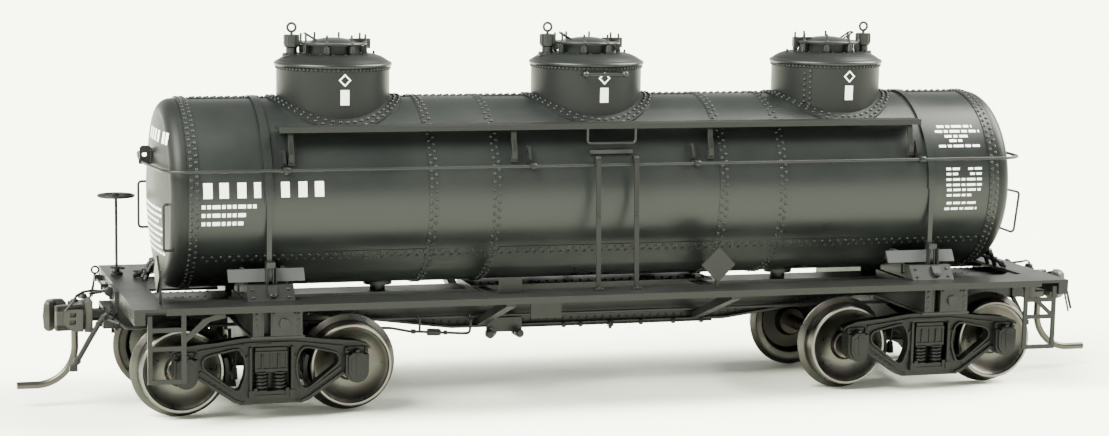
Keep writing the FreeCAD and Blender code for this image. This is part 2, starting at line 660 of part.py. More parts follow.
def build_walkways():
    board = box("walk_board", ("-walk_half", "-walk_edge", "walk_top - walk_gauge"),
                ("walk_half", "-walk_inner", "walk_top"))
    lip = box("walk_lip", ("-walk_half", "-walk_edge", "walk_top - walk_gauge - 0.28"),
              ("walk_half", "-walk_edge + 0.18", "walk_top - walk_gauge + 0.01"))
    walk = joined("walk_whole", board, lip)
    node("running_board_r", walk)
    node("running_board_l", mirrored("walk_twin", walk, (0, 1, 0)))

    top = "walk_top - walk_gauge - 0.02"
    corners = [("-walk_edge + 0.2", top), ("-walk_edge + 0.2", "walk_top - 1.1"),
               ("-walk_edge + 0.75", "walk_top - 2.9"), ("-walk_edge + 1.5", "walk_top - 2.9"),
               ("-walk_edge + 2.4", top)]
    gusset = slab("walk_gusset", "YZ_Plane", corners, "0.5")
    shell = rod("gusset_tank", "tank_radius + 0.02", ("-2", "0", "tank_axis"), "x", "4")
    flange = rod("gusset_flange", "tank_radius + 0.2", ("-2", "0", "tank_axis"), "x", "4")
    trimmed = less("gusset_cut", gusset, shell)
    inner = less("gusset_inner", gusset, flange)
    spots = (("walk_half - 1.2", inner), ("12", trimmed), ("-12", trimmed), ("1.2 - walk_half", inner))
    gussets = [moved(f"gusset_{index}", shape, x=x) for index, (x, shape) in enumerate(spots)]
    node("running_board_brackets", both_sides("all_gussets", group("gusset_row", *gussets)))


def build_rails():
    apex = "rail_end + 0.29"
    around = [("rail_turn", "-rail_side"), (apex, "0"), ("rail_turn", "rail_side"),
              ("-rail_turn", "rail_side"), (f"-({apex})", "0"), ("-rail_turn", "-rail_side")]
    start = [("0", "-rail_side")]
    route = [(x, y, "rail_height") for x, y in start + around + start]
    bends = ["rail_bend", "rail_sweep", "rail_bend", "rail_bend", "rail_sweep", "rail_bend"]
    node("handrail", wire("handrail_wire", route, bends, "rail_wire"))
    tank_y = "sqrt(tank_radius ^ 2 - (rail_height - tank_axis) ^ 2)"
    eye_outer = "rail_side + rail_wire + 0.2"
    stem = box("post_stem", ("-0.2", f"-{eye_outer}", "rail_height - 0.28"),
               ("0.2", f"-{tank_y} - 0.04", "rail_height + 0.28"))
    bore = rod("post_bore", "rail_wire + 0.01", ("-1", "-rail_side", "rail_height"), "x", "2")
    post = less("post_whole", stem, bore)
    spots = ("-38.3", "-9.9", "9.9", "38.3")
    row = group("post_row", *(moved(f"post_{index}", post, x=x) for index, x in enumerate(spots)))
    ends = box("end_stem", ("head_crown - 0.1", "-0.2", "rail_height - 0.28"),
               ("rail_end + rail_wire + 0.2", "0.2", "rail_height + 0.28"))
    end_bore = rod("end_bore", "rail_wire + 0.01", ("rail_end", "-1", "rail_height"), "y", "2")
    end_posts = both_ends("end_posts", less("end_post", ends, end_bore))
    node("handrail_posts", group("all_posts", both_sides("side_posts", row), end_posts))


def build_ladders():
    outer = "rail_side + rail_wire + 0.15"
    foot_y = "frame_side - 3.3"
    lean = [(f"-({outer})", "rail_height + 0.9"), (f"-({outer}) - stile_gauge", "rail_height + 0.9"),
            (f"-({foot_y}) - stile_gauge", "frame_top + 0.02"), (f"-({foot_y})", "frame_top + 0.02")]
    stile = slab("stile_body", "YZ_Plane", lean, "stile_width")
    hook = box("stile_hook", ("-0.3", f"-({outer}) - stile_gauge", "rail_height + 0.6"),
               ("0.3", "-rail_side + 0.9", "rail_height + 0.85"))
    drop = box("stile_drop", ("-0.3", "-rail_side + 0.65", "rail_height + 0.25"),
               ("0.3", "-rail_side + 0.9", "rail_height + 0.7"))
    foot = box("stile_foot", ("-0.75", f"-({foot_y}) - 0.4", "frame_top + 0.02"),
               ("0.75", f"-({foot_y}) + 0.5", "frame_top + 0.27"))
    whole = joined("stile_whole", stile, hook, drop, foot)
    pair = group("stile_pair", moved("stile_left", whole, x="-stile_place"),
                 moved("stile_right", whole, x="stile_place"))
    node("ladder_stiles", both_sides("all_stiles", pair))


def build_grabs():
    side = "-walk_edge + 0.1"
    top = "walk_top - walk_gauge - 0.3"
    loop = wire("stirrup_loop", [("-2.9", side, top), ("-2.9", side, "walk_top - 2.3"),
                                 ("2.9", side, "walk_top - 2.3"), ("2.9", side, top)], "0.4", "fine_wire")
    ledge = box("stirrup_ledge", ("-2.6", "-9.95", "29.1"), ("2.6", "-9.0", "29.55"))
    shell = rod("ledge_tank", "tank_radius + 0.02", ("-5", "0", "tank_axis"), "x", "10")
    rest = less("ledge_cut", ledge, shell)
    node("boarding_stirrups", both_sides("all_stirrups", group("stirrup_set", loop, rest)))

    near_a = wire("grab_a", [("51.02", "-8.9", "23.85"), ("52.8", "-8.9", "23.45"),
                             ("52.25", "-8.9", "18.5"), ("50.52", "-8.9", "19.1")], "0.4", "fine_wire")
    near_b = wire("grab_b", [("-51.04", "-8.8", "24.15"), ("-51.55", "-8.8", "24.15"),
                             ("-51.55", "-8.8", "19.0"), ("-50.55", "-8.8", "19.0")], "0.3", "fine_wire")
    far_b = wire("grab_far_b", [("-51.04", "8.8", "24.7"), ("-51.95", "8.8", "24.7"),
                                ("-51.95", "8.8", "19.3"), ("-50.65", "8.8", "19.3")], "0.4", "fine_wire")
    ends = group("end_grabs", near_a, mirrored("grab_far_a", near_a, (0, 1, 0)), near_b, far_b)
    dome = wire("grab_dome", [("-2.4", "-dome_radius + 0.35", "38.0"),
                              ("-2.4", "-dome_radius - 0.75", "38.0"),
                              ("2.4", "-dome_radius - 0.75", "38.0"),
                              ("2.4", "-dome_radius + 0.35", "38.0")],
                "0.45", "fine_wire")
    wall = rod("grab_dome_wall", "dome_radius + 0.02", ("0", "0", "36"), "z", "4")
    node("grab_irons", group("all_grabs", ends, less("grab_dome_cut", dome, wall)))


def build_handbrake():
    x, y = "-frame_half + 1.25", "8.6"
    rim = doc.addObject("Part::Torus", "brake_rim")
    bind(rim, "Radius1", "2.05")
    bind(rim, "Radius2", "0.16")
    place(rim, (x, y, "23.1"))
    hub = rod("brake_hub", "0.42", (x, y, "22.9"), "z", "0.45")
    spokes = []
    for index in range(5):
        spoke = doc.addObject("Part::Cylinder", f"brake_spoke_{index}")
        bind(spoke, "Radius", "0.12")
        bind(spoke, "Height", "2.0")
        turn = Rotation(Vector(0, 0, 1), 72 * index + 20).multiply(AXES["x"])
        spoke.Placement = Placement(Vector(), turn)
        place(spoke, (x, y, "23.1"))
        spokes.append(spoke)
    node("handbrake_wheel", joined("brake_wheel", rim, hub, *spokes))

    staff = rod("brake_staff", "0.17", (x, y, "frame_top + 0.02"), "z", "22.88 - frame_top")
    step = rod("brake_step", "0.75", (x, y, "frame_top + 0.02"), "z", "0.3")
    ratchet = rod("brake_ratchet", "0.6", (x, y, "frame_top + 0.75"), "z", "0.28")
    collar = rod("brake_collar", "0.35", (x, y, "frame_top + 0.3"), "z", "0.5")
    pawl = box("brake_pawl", (f"{x} + 0.3", f"{y} - 0.9", "frame_top + 0.75"),
               (f"{x} + 0.85", f"{y} + 0.3", "frame_top + 1.0"))
    node("handbrake_staff", joined("brake_post", staff, step, ratchet, collar, pawl))


def build_boards():
    reach = "2.05"
    diamond = [(f"-{reach}", "0"), ("0", f"-{reach}"), (reach, "0"), ("0", reach)]
    side = slab("placard_side", "XZ_Plane", diamond, "0.25")
    side_at = moved("placard_side_at", side, x="11.7", y="-frame_side + 1.7", z="16.55")
    prop = box("placard_prop", ("11.5", "-frame_side + 1.85", "frame_top + 0.02"),
               ("11.9", "-frame_side + 2.15", "17"))
    facing = slab("placard_end", "YZ_Plane", diamond, "0.25")
    end_at = moved("placard_end_at", facing, x="-frame_half + 3.0", y="-frame_side + 3.3", z="17.1")
    post = box("placard_post", ("-frame_half + 3.15", "-frame_side + 3.1", "frame_top + 0.02"),
               ("-frame_half + 3.45", "-frame_side + 3.5", "17.5"))
    card = box("card_board", ("-14.2", "-frame_side + 2.9", "frame_top + 0.02"),
               ("-11.5", "-frame_side + 3.15", "frame_top + 1.85"))
    route = box("route_board", ("-9.6", "-frame_side + 5.6", "10.3"),
                ("-5.9", "-frame_side + 5.85", "frame_top - deck_gauge - 0.02"))
    set_r = group("board_set", joined("placard_s", side_at, prop), joined("placard_e", end_at, post),
                  card, route)
    node("placard_boards", both_ends("all_boards", set_r))


def build_outlets():
    neck = rod("outlet_neck", "0.9", ("0", "0", "cover_top + 0.02"), "z", "1.3")
    flange = rod("outlet_flange", "1.7", ("0", "0", "tank_axis - tank_radius - 0.35"), "z", "0.7")
    shell = rod("outlet_tank", "tank_radius + 0.02", ("-3", "0", "tank_axis"), "x", "6")
    outlet = less("outlet_cut", joined("outlet_whole", neck, flange), shell)
    node("outlet_valves", both_ends("both_outlets", moved("outlet_a", outlet, x="25.2")))


def build_brakes():
    cylinder = rod("brake_cylinder_body", "1.55", ("-9.2", "7.2", "10.7"), "x", "5.2")
    head = rod("brake_cylinder_head", "1.75", ("-9.4", "7.2", "10.7"), "x", "0.4")
    joint = rod("brake_cylinder_joint", "1.75", ("-4.2", "7.2", "10.7"), "x", "0.4")
    tank = rod("brake_reservoir_body", "1.85", ("-3.8", "7.2", "10.7"), "x", "6.6")
    tip = rod("brake_push_rod", "0.3", ("-12.18", "7.2", "10.7"), "x", "3.1")
    hanger = box("brake_hanger_1", ("-8.4", "6.9", "12.1"), ("-7.8", "7.5", "frame_top - deck_gauge - 0.02"))
    arm = box("brake_hanger_2", ("-8.4", "7.0", "12.98"), ("-7.8", "frame_side - 3", "13.38"))
    other = box("brake_hanger_3", ("1.2", "6.9", "12.2"), ("1.8", "7.5", "frame_top - deck_gauge - 0.02"))
    other_arm = box("brake_hanger_4", ("1.2", "7.0", "12.98"), ("1.8", "frame_side - 3", "13.38"))
    unit = joined("brake_unit", cylinder, head, joint, tank, tip, hanger, arm, other, other_arm)
    node("brake_cylinder", unit)

    lever = box("brake_lever", ("-12.7", "3.4", "10.55"), ("-12.2", "9.4", "10.85"))
    rod_b = rod("brake_rod_b", "0.16", ("-33", "3.45", "9.45"), "x", "20.38")
    link = box("brake_link", ("-12.6", "3.4", "9.25"), ("-12.3", "3.8", "10.53"))
    rod_a = rod("brake_rod_a", "0.16", ("-7", "-1.2", "7.72"), "x", "23")
    plate = box("lever_bracket", ("-12.9", "-3.9", "7.6"), ("-8.6", "-3.45", "9.3"))
    lobes = [rod(f"lever_lobe_{index}", "0.6", (x, "-4.1", "7.65"), "y", "0.75")
             for index, x in enumerate(("-12.3", "-9.2"))]
    hangers = [box(f"rod_hanger_{index}", (f"{x} - 0.25", "-1.35", "7.75"), (f"{x} + 0.25", "-1.05", "9.4"))
               for index, x in enumerate((-6.2, 4.0, 15.0))]
    ties = [box(f"rod_tie_{index}", (f"{x} - 0.25", "-spine_slot + 0.02", "9.0"),
                (f"{x} + 0.25", "-1.05", "9.4"))
            for index, x in enumerate((-6.2, 4.0, 15.0))]
    bracket = joined("lever_bracket_whole", plate, *lobes)
    lower = joined("lower_rod", rod_a, *hangers, *ties)
    node("brake_rigging", group("rigging", lever, rod_b, link, lower, bracket))

    pipe = wire("train_pipe_wire", [("-57.0", "-3.4", "11.15"), ("-55.0", "-3.6", "9.55"),
                                    ("46.6", "-3.6", "9.55"),
                                    ("46.6", "3.6", "9.55"), ("55.0", "3.6", "9.55"),
                                    ("57.0", "3.4", "11.15")],
                "0.8", "0.2")
    node("train_pipe", pipe)


def build_end_details():
    handle = wire("cut_lever", [("58.6", "-1.5", "12.75"), ("57.2", "-2.4", "12.75"),
                                ("56.5", "-3.6", "12.75"),
                                ("56.5", "-14.6", "12.75"), ("56.75", "-15.6", "10.1")], "0.45", "fine_wire")
    eyes = [box(f"lever_eye_{index}", ("frame_half + 0.02", f"{y} - 0.2", "12.45"),
                ("56.8", f"{y} + 0.2", "13.1"))
            for index, y in enumerate((-12.5, -6.0))]
    holes = rod("lever_eye_holes", "fine_wire + 0.01", ("56.5", "-14", "12.75"), "y", "10")
    eye_set = less("lever_eyes", group("lever_eye_pair", *eyes), holes)
    node("cut_levers", both_ends("all_cut_levers", group("cut_lever_set", handle, eye_set)))

    hose = wire("air_hose", [("-57.05", "-3.4", "11.3"), ("-57.75", "-3.4", "10.75"),
                             ("-59.2", "-3.3", "8.3"),
                             ("-60.9", "-3.2", "5.3")], "1.4", "0.24")
    hand = box("glad_hand", ("-61.45", "-3.5", "4.75"), ("-60.55", "-2.9", "5.35"))
    cock = box("angle_cock", ("-57.35", "-3.7", "11.36"), ("-56.6", "-3.1", "11.9"))
    node("air_hoses", both_ends("all_hoses", joined("hose_whole", hose, hand, cock)))

    node("sill_steps", both_ends("all_steps", group("step_row", step_b(), step_a())))


def flat_bar(name, x0, x1, z0, z1):
    """A piece of step iron in the plane of the side sill."""
    return box(name, (x0, "-frame_side + 0.1", z0), (x1, "-frame_side + 0.4", z1))


STEP_LOW = "5.45"
STEP_BAR = "0.5"


def step_frame(name, left, right):
    top = "frame_top - end_depth - 0.35"
    return [flat_bar(f"{name}_left", left, f"{left} + {STEP_BAR}", STEP_LOW,
                     "frame_top - sill_depth - 0.02"),
            flat_bar(f"{name}_right", f"{right} - {STEP_BAR}", right, STEP_LOW,
            "frame_top - sill_depth - 0.02"),
            flat_bar(f"{name}_top", left, right, f"{top} - {STEP_BAR}", top),
            flat_bar(f"{name}_middle", left, right, "9.1", "9.6"),
            flat_bar(f"{name}_low", left, right, STEP_LOW, f"{STEP_LOW} + {STEP_BAR}")]


def brace(name, corners):
    body = slab(name, "XZ_Plane", corners, "0.3")
    return moved(name + "_at", body, y="-frame_side + 0.25")


def step_b():
    """The step at the handbrake end: its brace runs outside the frame, up to the sill."""
    bars = step_frame("step_b", "-54.4", "-50.2")
    diagonal = brace("step_b_brace", [("-50.3", "9.9"), ("-50.3", "10.6"), ("-48.3", "12.5"),
                                      ("-47.0", "12.95"),
                                      ("-45.9", "12.95"), ("-45.9", "12.55"), ("-47.6", "12.2")])
    return joined("step_b_whole", *bars, diagonal)


def step_a():
    """The step at the other end: its brace crosses the upper half of the frame."""
    bars = step_frame("step_a", "50.2", "54.4")
    diagonal = brace("step_a_brace", [("51.2", "11.6"), ("51.9", "11.6"), ("54.1", "9.7"), ("54.1", "9.1")])
    return joined("step_a_whole", *bars, diagonal)


# ---- trucks ----

def build_sideframe():
    """A cast sideframe in its own frame: kingpin at x = 0, outer face towards -Y."""
    body = new_body("sideframe_body")
    top_z, low_z = "9.55", "1.9"
    half = [("11.0", "8.15"), ("9.6", "8.75"), ("6.0", "9.1"), ("3.2", top_z)]
    under = [("3.4", low_z), ("4.3", "2.25"), ("8.45", "5.1"), ("8.5", "7.35"), ("11.0", "7.35")]
    right = half
    left = [(f"-({x})", z) for x, z in reversed(half)]
    low_left = [(f"-({x})", z) for x, z in reversed(under)]
    corners = right + left + low_left + under
    pad(body, outline(body, "XZ_Plane", corners), "frame_outer - frame_inner - 0.35")
    for sign in ("", "-"):
        window = [(f"{sign}3.35", "8.1"), (f"{sign}7.7", "7.3"), (f"{sign}7.7", "6.5"),
                  (f"{sign}3.9", "3.6")]
        pocket(body, outline(body, "XZ_Plane", window), "4")
    bay = [("-2.25", "8.45"), ("2.25", "8.45"), ("2.25", "3.0"), ("-2.25", "3.0")]
    pocket(body, outline(body, "XZ_Plane", bay), "4")
    doc.recompute()
    plate = moved("sideframe_plate", body, y="-(frame_outer + frame_inner) / 2 + 0.1")

    box_profile = [("-1.25", "flange_radius + 1.75"), ("-1.25", "flange_radius - 0.35"),
                   ("1.25", "flange_radius - 0.35"), ("1.25", "flange_radius + 1.75")]
    journal = slab("journal_body", "XZ_Plane", box_profile, "frame_outer - frame_inner + 0.75",
                   {1: "1.3"})
    middle = "-(frame_outer + frame_inner) / 2 - 0.375"
    boxes = [moved(f"journal_{index}", journal, x=f"{sign} * half_base", y=middle)
             for index, sign in enumerate((-1, 1))]
    lids = []
    for index, sign in enumerate((-1, 1)):
        lids.append(box(f"journal_lid_{index}",
                        (f"{sign} * half_base - 0.95", "-frame_outer - 1.0", "flange_radius - 0.5"),
                        (f"{sign} * half_base + 0.95", "-frame_outer - 0.7", "flange_radius + 1.2")))
        lids.append(rod(f"journal_hinge_{index}", "0.22",
                        (f"{sign} * half_base - 0.6", "-frame_outer - 0.95", "flange_radius + 1.35"),
                        "x", "1.2"))
    holes = [rod(f"journal_hole_{index}", "journal_radius + journal_play",
                 (f"{sign} * half_base", "-journal_end - 0.15", "flange_radius"), "y", "3")
             for index, sign in enumerate((-1, 1))]
    whole = joined("sideframe_joined", plate, *boxes, *lids)
    return less("sideframe_bored", whole, joined("journal_holes", *holes))


def build_trucks():
    near = build_sideframe()
    frames = both_ends("sideframe_pair", near)

    beam = slab("truck_bolster_body", "YZ_Plane", [
        ("-12.0", "5.5"), ("-10.4", "5.5"), ("-7.5", "6.5"), ("7.5", "6.5"), ("10.4", "5.5"),
        ("12.0", "5.5"),
        ("12.0", "8.3"), ("7.0", "8.6"), ("2.4", "9.35"), ("-2.4", "9.35"), ("-7.0", "8.6"),
        ("-12.0", "8.3")],
        "3.5")
    bowl = rod("centre_bowl", "2", ("0", "0", "9.3"), "z", "bolster_plate - 0.25 - 0.05 - 9.3")
    bore = rod("bolster_bore", "pin_radius + pin_play", ("0", "0", "6"), "z", "5")
    bolster = less("truck_bolster_bored", joined("truck_bolster_whole", beam, bowl), bore)

    springs = []
    for index, (x, y) in enumerate((x, y) for x in (-1.15, 1.15) for y in (-11.55, 11.55)):
        turns = [rod(f"spring_{index}_turn_{turn}", "0.78" if turn % 2 == 0 else "0.55",
                     (str(x), str(y), f"3.42 + {turn} * 0.226"), "z", "0.23") for turn in range(9)]
        springs.append(joined(f"spring_{index}", *turns))
    planks = [box(f"spring_plank_{index}", ("-2.1", f"{y} - 0.7", "3.02"), ("2.1", f"{y} + 0.7", "3.4"))
              for index, y in enumerate((-11.55, 11.55))]
    spring_set = group("spring_set", *springs, *planks)

    bars = []
    for index, sign in enumerate((-1, 1)):
        x = f"{sign} * (half_base - flange_radius - 0.55)"
        bars.append(box(f"brake_bar_{index}", (f"{x} - 0.3", "-9.2", "4.3"), (f"{x} + 0.3", "9.2", "4.9")))
        for far_side in (-1, 1):
            shoe_x = f"{sign} * (half_base - flange_radius - 0.3)"
            bars.append(box(f"brake_shoe_{index}_{far_side}",
                            (f"{shoe_x} - 0.3", f"{far_side} * 8.8 - 0.7", "4.1"),
                            (f"{shoe_x} + 0.22", f"{far_side} * 8.8 + 0.7", "6.3")))
    shoes = group("brake_set", joined("brake_beam_1", *bars[:3]), joined("brake_beam_2", *bars[3:]))

    for letter, centre in (("a", "truck_centre"), ("b", "-truck_centre")):
        node(f"sideframes_{letter}", moved(f"sideframes_{letter}_at", frames, x=centre))
        node(f"truck_bolster_{letter}", moved(f"truck_bolster_{letter}_at", bolster, x=centre))
        node(f"truck_springs_{letter}", moved(f"truck_springs_{letter}_at", spring_set, x=centre))
        node(f"brake_beams_{letter}", moved(f"brake_beams_{letter}_at", shoes, x=centre))


def build_wheelsets():
    """Axle with two pressed-on wheels, turned about Y; profiles are drawn in the YZ plane."""
    axle = turning("axle_body", "YZ_Plane", "H_Axis", [
        ("-journal_end", "0"), ("-journal_end + 0.3", "journal_radius"),
        ("-frame_inner + 0.45", "journal_radius"),
        ("-frame_inner + 0.55", "axle_radius"), ("frame_inner - 0.55", "axle_radius"),
        ("frame_inner - 0.45", "journal_radius"), ("journal_end - 0.3", "journal_radius"),
        ("journal_end", "0")])
    wheel = turning("wheel_body", "YZ_Plane", "H_Axis", [
        ("wheel_inner", "axle_radius + 0.005"), ("wheel_inner", "1.6"), ("wheel_inner + 0.85", "2.0"),
        ("wheel_inner + 1.05", "3.5"), ("wheel_inner + 0.15", "4.05"),
        ("wheel_inner", "tread_radius + 0.15"),
        ("wheel_inner + 0.22", "flange_radius - 0.06"), ("wheel_inner + 0.5", "flange_radius - 0.08"),
        ("wheel_inner + 0.82", "tread_radius + 0.1"), ("wheel_inner + 1.05", "tread_radius"),
        ("wheel_outer - 0.12", "tread_radius - 0.09"), ("wheel_outer", "tread_radius - 0.2"),
        ("wheel_outer", "4.4"), ("wheel_outer - 0.22", "4.28"), ("wheel_outer - 0.95", "1.9"),
        ("wheel_outer - 0.4", "1.65"), ("wheel_outer - 0.3", "1.55"),
        ("wheel_outer - 0.3", "axle_radius + 0.005")],
        {6: "-0.16", 13: "3.2"})
    wheelset = group("wheelset", axle, wheel, mirrored("wheel_twin", wheel, (0, 1, 0)))
    for letter, end in (("b", "-1"), ("a", "1")):
        for place_name, side in (("outer", "1"), ("inner", "-1")):
            node(f"wheelset_{letter}_{place_name}", moved(
                f"wheelset_{letter}_{place_name}_at", wheelset,
                x=f"{end} * (truck_centre + {side} * half_base)", z="flange_radius"))


# ---- couplers ----

def build_draft_gear():
    outer = box("draft_outer", ("draft_back + 0.9", "-draft_side", "draft_low"),
                ("draft_end", "draft_side", "draft_top"))
    cavity = box("draft_cavity", ("draft_back + 1.3", "-draft_side + 0.4",
                 "coupler_height - shank_half - 0.2"),
                 ("draft_end + 1", "draft_side - 0.4", "coupler_height + shank_half + 0.2"))
    hole = rod("draft_hole", "0.62", ("pivot_place", "0", "draft_low - 1"), "z", "4")
    node("draft_box_a", less("draft_box_whole", less("draft_hollow", outer, cavity), hole))
    node("draft_box_b", turned("draft_box_turned", nodes["draft_box_a"]))

    post = rod("draft_screw", "0.6", ("pivot_place", "0", "draft_low - 0.1"), "z", "2.45")
    head = rod("draft_screw_head", "1.05", ("pivot_place", "0", "draft_low - 0.4"), "z", "0.38")
    node("draft_box_screws", both_ends("both_draft_screws", joined("draft_screw_whole", post, head)))


def build_couplers():
    low, high = "coupler_height - shank_half", "coupler_height + shank_half"
    shank = box("coupler_shank", ("pivot_place", "-0.75", low), ("58.9", "0.75", high))
    eye = rod("coupler_eye", "1.35", ("pivot_place", "0", low), "z", "2 * shank_half")
    plan = [("58.3", "-1.15"), ("59.1", "-1.9"), ("60.6", "-1.9"), ("61.15", "-1.3"), ("61.2", "-0.55"),
            ("60.6", "0.1"),
            ("60.9", "0.75"), ("61.9", "1.05"), ("62.9", "1.6"), ("62.7", "2.15"), ("61.2", "1.95"),
            ("59.2", "1.5"), ("58.3", "1.15")]
    head = slab("coupler_head_body", "XY_Plane", plan, "2.9")
    head_at = moved("coupler_head", head, z="coupler_height")
    bore = rod("coupler_bore", "0.65", ("pivot_place", "0", "draft_low"), "z", "3")
    recess = box("coupler_recess", ("59.3", "-2.5", "coupler_height - 0.72"),
                 ("62", "0.25", "coupler_height + 0.72"))
    hinge_bore = rod("knuckle_bore", "pin_wire + 0.05", ("knuckle_place", "-knuckle_side", "8"), "z", "6")
    body = less("coupler_bored", joined("coupler_whole", shank, eye, head_at),
                joined("coupler_voids", bore, recess, hinge_bore))
    springs = [box(f"centring_spring_{index}", ("pivot_place + 1.45", y0, "coupler_height - 0.35"),
                   ("pivot_place + 3.3", y1, "coupler_height + 0.35"))
               for index, (y0, y1) in enumerate((("0.77", "0.87"), ("-0.87", "-0.77")))]
    coupler = group("coupler_set", body, *springs)
    node("coupler_a", coupler)
    node("coupler_b", turned("coupler_turned", coupler))

    tail = [("59.6", "-0.35"), ("59.6", "-1.45"), ("61.3", "-1.5"), ("61.3", "-0.5"), ("60.7", "-0.2")]
    tang = slab("knuckle_tang", "XY_Plane", tail, "1.36")
    nose_plan = [("61.55", "-1.95"), ("62.6", "-2.15"), ("63.75", "-1.4"), ("64.0", "0.2"), ("63.4", "0.75"),
                 ("62.75", "0.35"), ("62.55", "-0.6"), ("61.28", "-0.75")]
    nose = slab("knuckle_nose", "XY_Plane", nose_plan, "3.5")
    solid = joined("knuckle_solid", moved("tang_at", tang, z="coupler_height"),
                   moved("nose_at", nose, z="coupler_height"))
    pin_bore = rod("trip_bore", "pin_wire + 0.005", ("knuckle_place", "-knuckle_side", "8"), "z", "6")
    knuckle = less("knuckle_bored", solid, pin_bore)
    trip = wire("trip_pin", [("knuckle_place", "-knuckle_side", "coupler_height + 0.6"),
                             ("knuckle_place", "-knuckle_side", "2.5"), ("67.0", "-knuckle_side", "2.5")],
                "4.4", "pin_wire")
    pair = group("knuckle_set", knuckle, trip)
    node("knuckle_a", pair)
    node("knuckle_b", turned("knuckle_turned", pair))


def write_parts():
    doc.recompute()
    broken = [item.Name for item in doc.Objects if "Invalid" in item.State or "Error" in item.State]
    if broken:
        raise RuntimeError(f"not computed: {broken}")
    for name, item in nodes.items():
        if item.Shape.isNull() or not item.Shape.isValid() or not item.Shape.Solids:
            raise RuntimeError(f"{name} has no valid solid")
    os.makedirs("parts", exist_ok=True)
    for name, item in nodes.items():
        item.Shape.exportStep(f"parts/{name}.step")
        print(name, len(item.Shape.Solids), "solids", round(item.Shape.Volume, 3), "mm3")


build_tank()
build_domes()
build_lids()
build_valves()
build_straps()
build_centre_sill()
build_side_sills()
build_end_sills()
build_bolsters()
build_saddles()
build_crossbearers()
build_walkways()
build_rails()
build_ladders()
build_grabs()
build_handbrake()
build_boards()
build_outlets()
build_brakes()
build_end_details()
build_trucks()
build_wheelsets()
build_draft_gear()
build_couplers()
write_parts()
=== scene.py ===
import json
import math

import bmesh
import bpy
import mathutils.geometry
from mathutils import Matrix, Vector


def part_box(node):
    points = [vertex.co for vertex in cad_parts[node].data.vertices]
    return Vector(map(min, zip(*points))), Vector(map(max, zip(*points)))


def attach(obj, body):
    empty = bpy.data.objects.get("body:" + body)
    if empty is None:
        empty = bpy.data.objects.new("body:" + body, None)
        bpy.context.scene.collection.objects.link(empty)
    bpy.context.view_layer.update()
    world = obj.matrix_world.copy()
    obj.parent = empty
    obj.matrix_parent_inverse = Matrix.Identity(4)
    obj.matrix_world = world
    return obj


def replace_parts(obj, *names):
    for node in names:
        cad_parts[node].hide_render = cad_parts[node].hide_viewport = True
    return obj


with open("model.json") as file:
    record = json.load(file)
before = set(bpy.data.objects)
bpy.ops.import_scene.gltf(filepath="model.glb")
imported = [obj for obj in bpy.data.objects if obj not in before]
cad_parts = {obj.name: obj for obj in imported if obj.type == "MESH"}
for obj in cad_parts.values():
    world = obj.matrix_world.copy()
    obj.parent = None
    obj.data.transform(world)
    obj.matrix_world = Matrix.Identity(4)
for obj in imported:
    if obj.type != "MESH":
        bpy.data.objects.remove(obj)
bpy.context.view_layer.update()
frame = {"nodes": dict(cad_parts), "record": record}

MM = 0.001
SKY_STRENGTH = 3.0
SKY_TINT = (0.985, 1.0, 0.945)
SKY_FALL = ((0.0, 1.0), (0.22, 0.6), (0.5, 0.2), (1.0, 0.18))
KEY_TINT = (0.985, 1.0, 0.90)
SHEEN = 0.22


# ---- camera, light and floor ----

def look():
    """The camera, its position in millimetres from the middle of the wagon at the table."""
    camera = bpy.data.objects.new("Camera", bpy.data.cameras.new("Camera"))
    camera.data.sensor_width = 36.0
    camera.data.lens = 78.11
    camera.data.shift_x = 0.0768
    camera.data.shift_y = 0.0444
    camera.data.clip_start = 0.01
    camera.data.clip_end = 20.0
    turn = (Matrix.Rotation(math.radians(-15.485), 3, "Z")
            @ Matrix.Rotation(math.radians(90.0 - 8.718), 3, "X")
            @ Matrix.Rotation(math.radians(0.731), 3, "Z"))
    camera.matrix_world = Matrix.Translation(Vector((-89.21, -271.37, 57.95)) * MM) @ turn.to_4x4()
    bpy.context.scene.collection.objects.link(camera)
    bpy.context.scene.camera = camera


def far_light(name, direction, strength, softness, tint=(1.0, 1.0, 1.0)):
    """An even light from far away; softness is its width in degrees."""
    light = bpy.data.lights.new(name, "SUN")
    light.energy = strength
    light.angle = math.radians(softness)
    light.color = tint
    lamp = bpy.data.objects.new(name, light)
    lamp.location = Vector(direction).normalized() * 0.8
    lamp.rotation_euler = Vector(direction).to_track_quat("Z", "Y").to_euler()
    bpy.context.scene.collection.objects.link(lamp)


def sky():
    """A light tent: bright round the sides, darker overhead."""
    world = bpy.data.worlds.new("Studio")
    world.use_nodes = True
    tree = world.node_tree
    background = tree.nodes["Background"]
    background.inputs["Strength"].default_value = SKY_STRENGTH
    where = tree.nodes.new("ShaderNodeTexCoord")
    parts = tree.nodes.new("ShaderNodeSeparateXYZ")
    fall = ramp(tree, [(height, shade(SKY_TINT, part)) for height, part in SKY_FALL])
    tree.links.new(where.outputs["Generated"], parts.inputs["Vector"])
    tree.links.new(parts.outputs["Z"], fall.inputs["Fac"])
    tree.links.new(fall.outputs["Color"], background.inputs["Color"])
    bpy.context.scene.world = world


def studio():
    sky()
    far_light("LeftKey", (-0.62, -0.28, 0.73), 21.0, 40.0, KEY_TINT)
    far_light("RightKey", (0.74, 0.02, 0.67), 17.5, 45.0, KEY_TINT)

    mesh = bpy.data.meshes.new("Floor")
    reach = 2.5
    mesh.from_pydata([(-reach, -reach, 0), (reach, -reach, 0), (reach, reach, 0), (-reach, reach, 0)], [],
                     [(0, 1, 2, 3)])
    floor = bpy.data.objects.new("Floor", mesh)
    floor.location.z = -0.00002
    bpy.context.scene.collection.objects.link(floor)
    floor.data.materials.append(paint("Paper", (0.90, 0.925, 0.81), 0.75, grain=900.0, depth=0.00001,
                                      fleck=0.01))


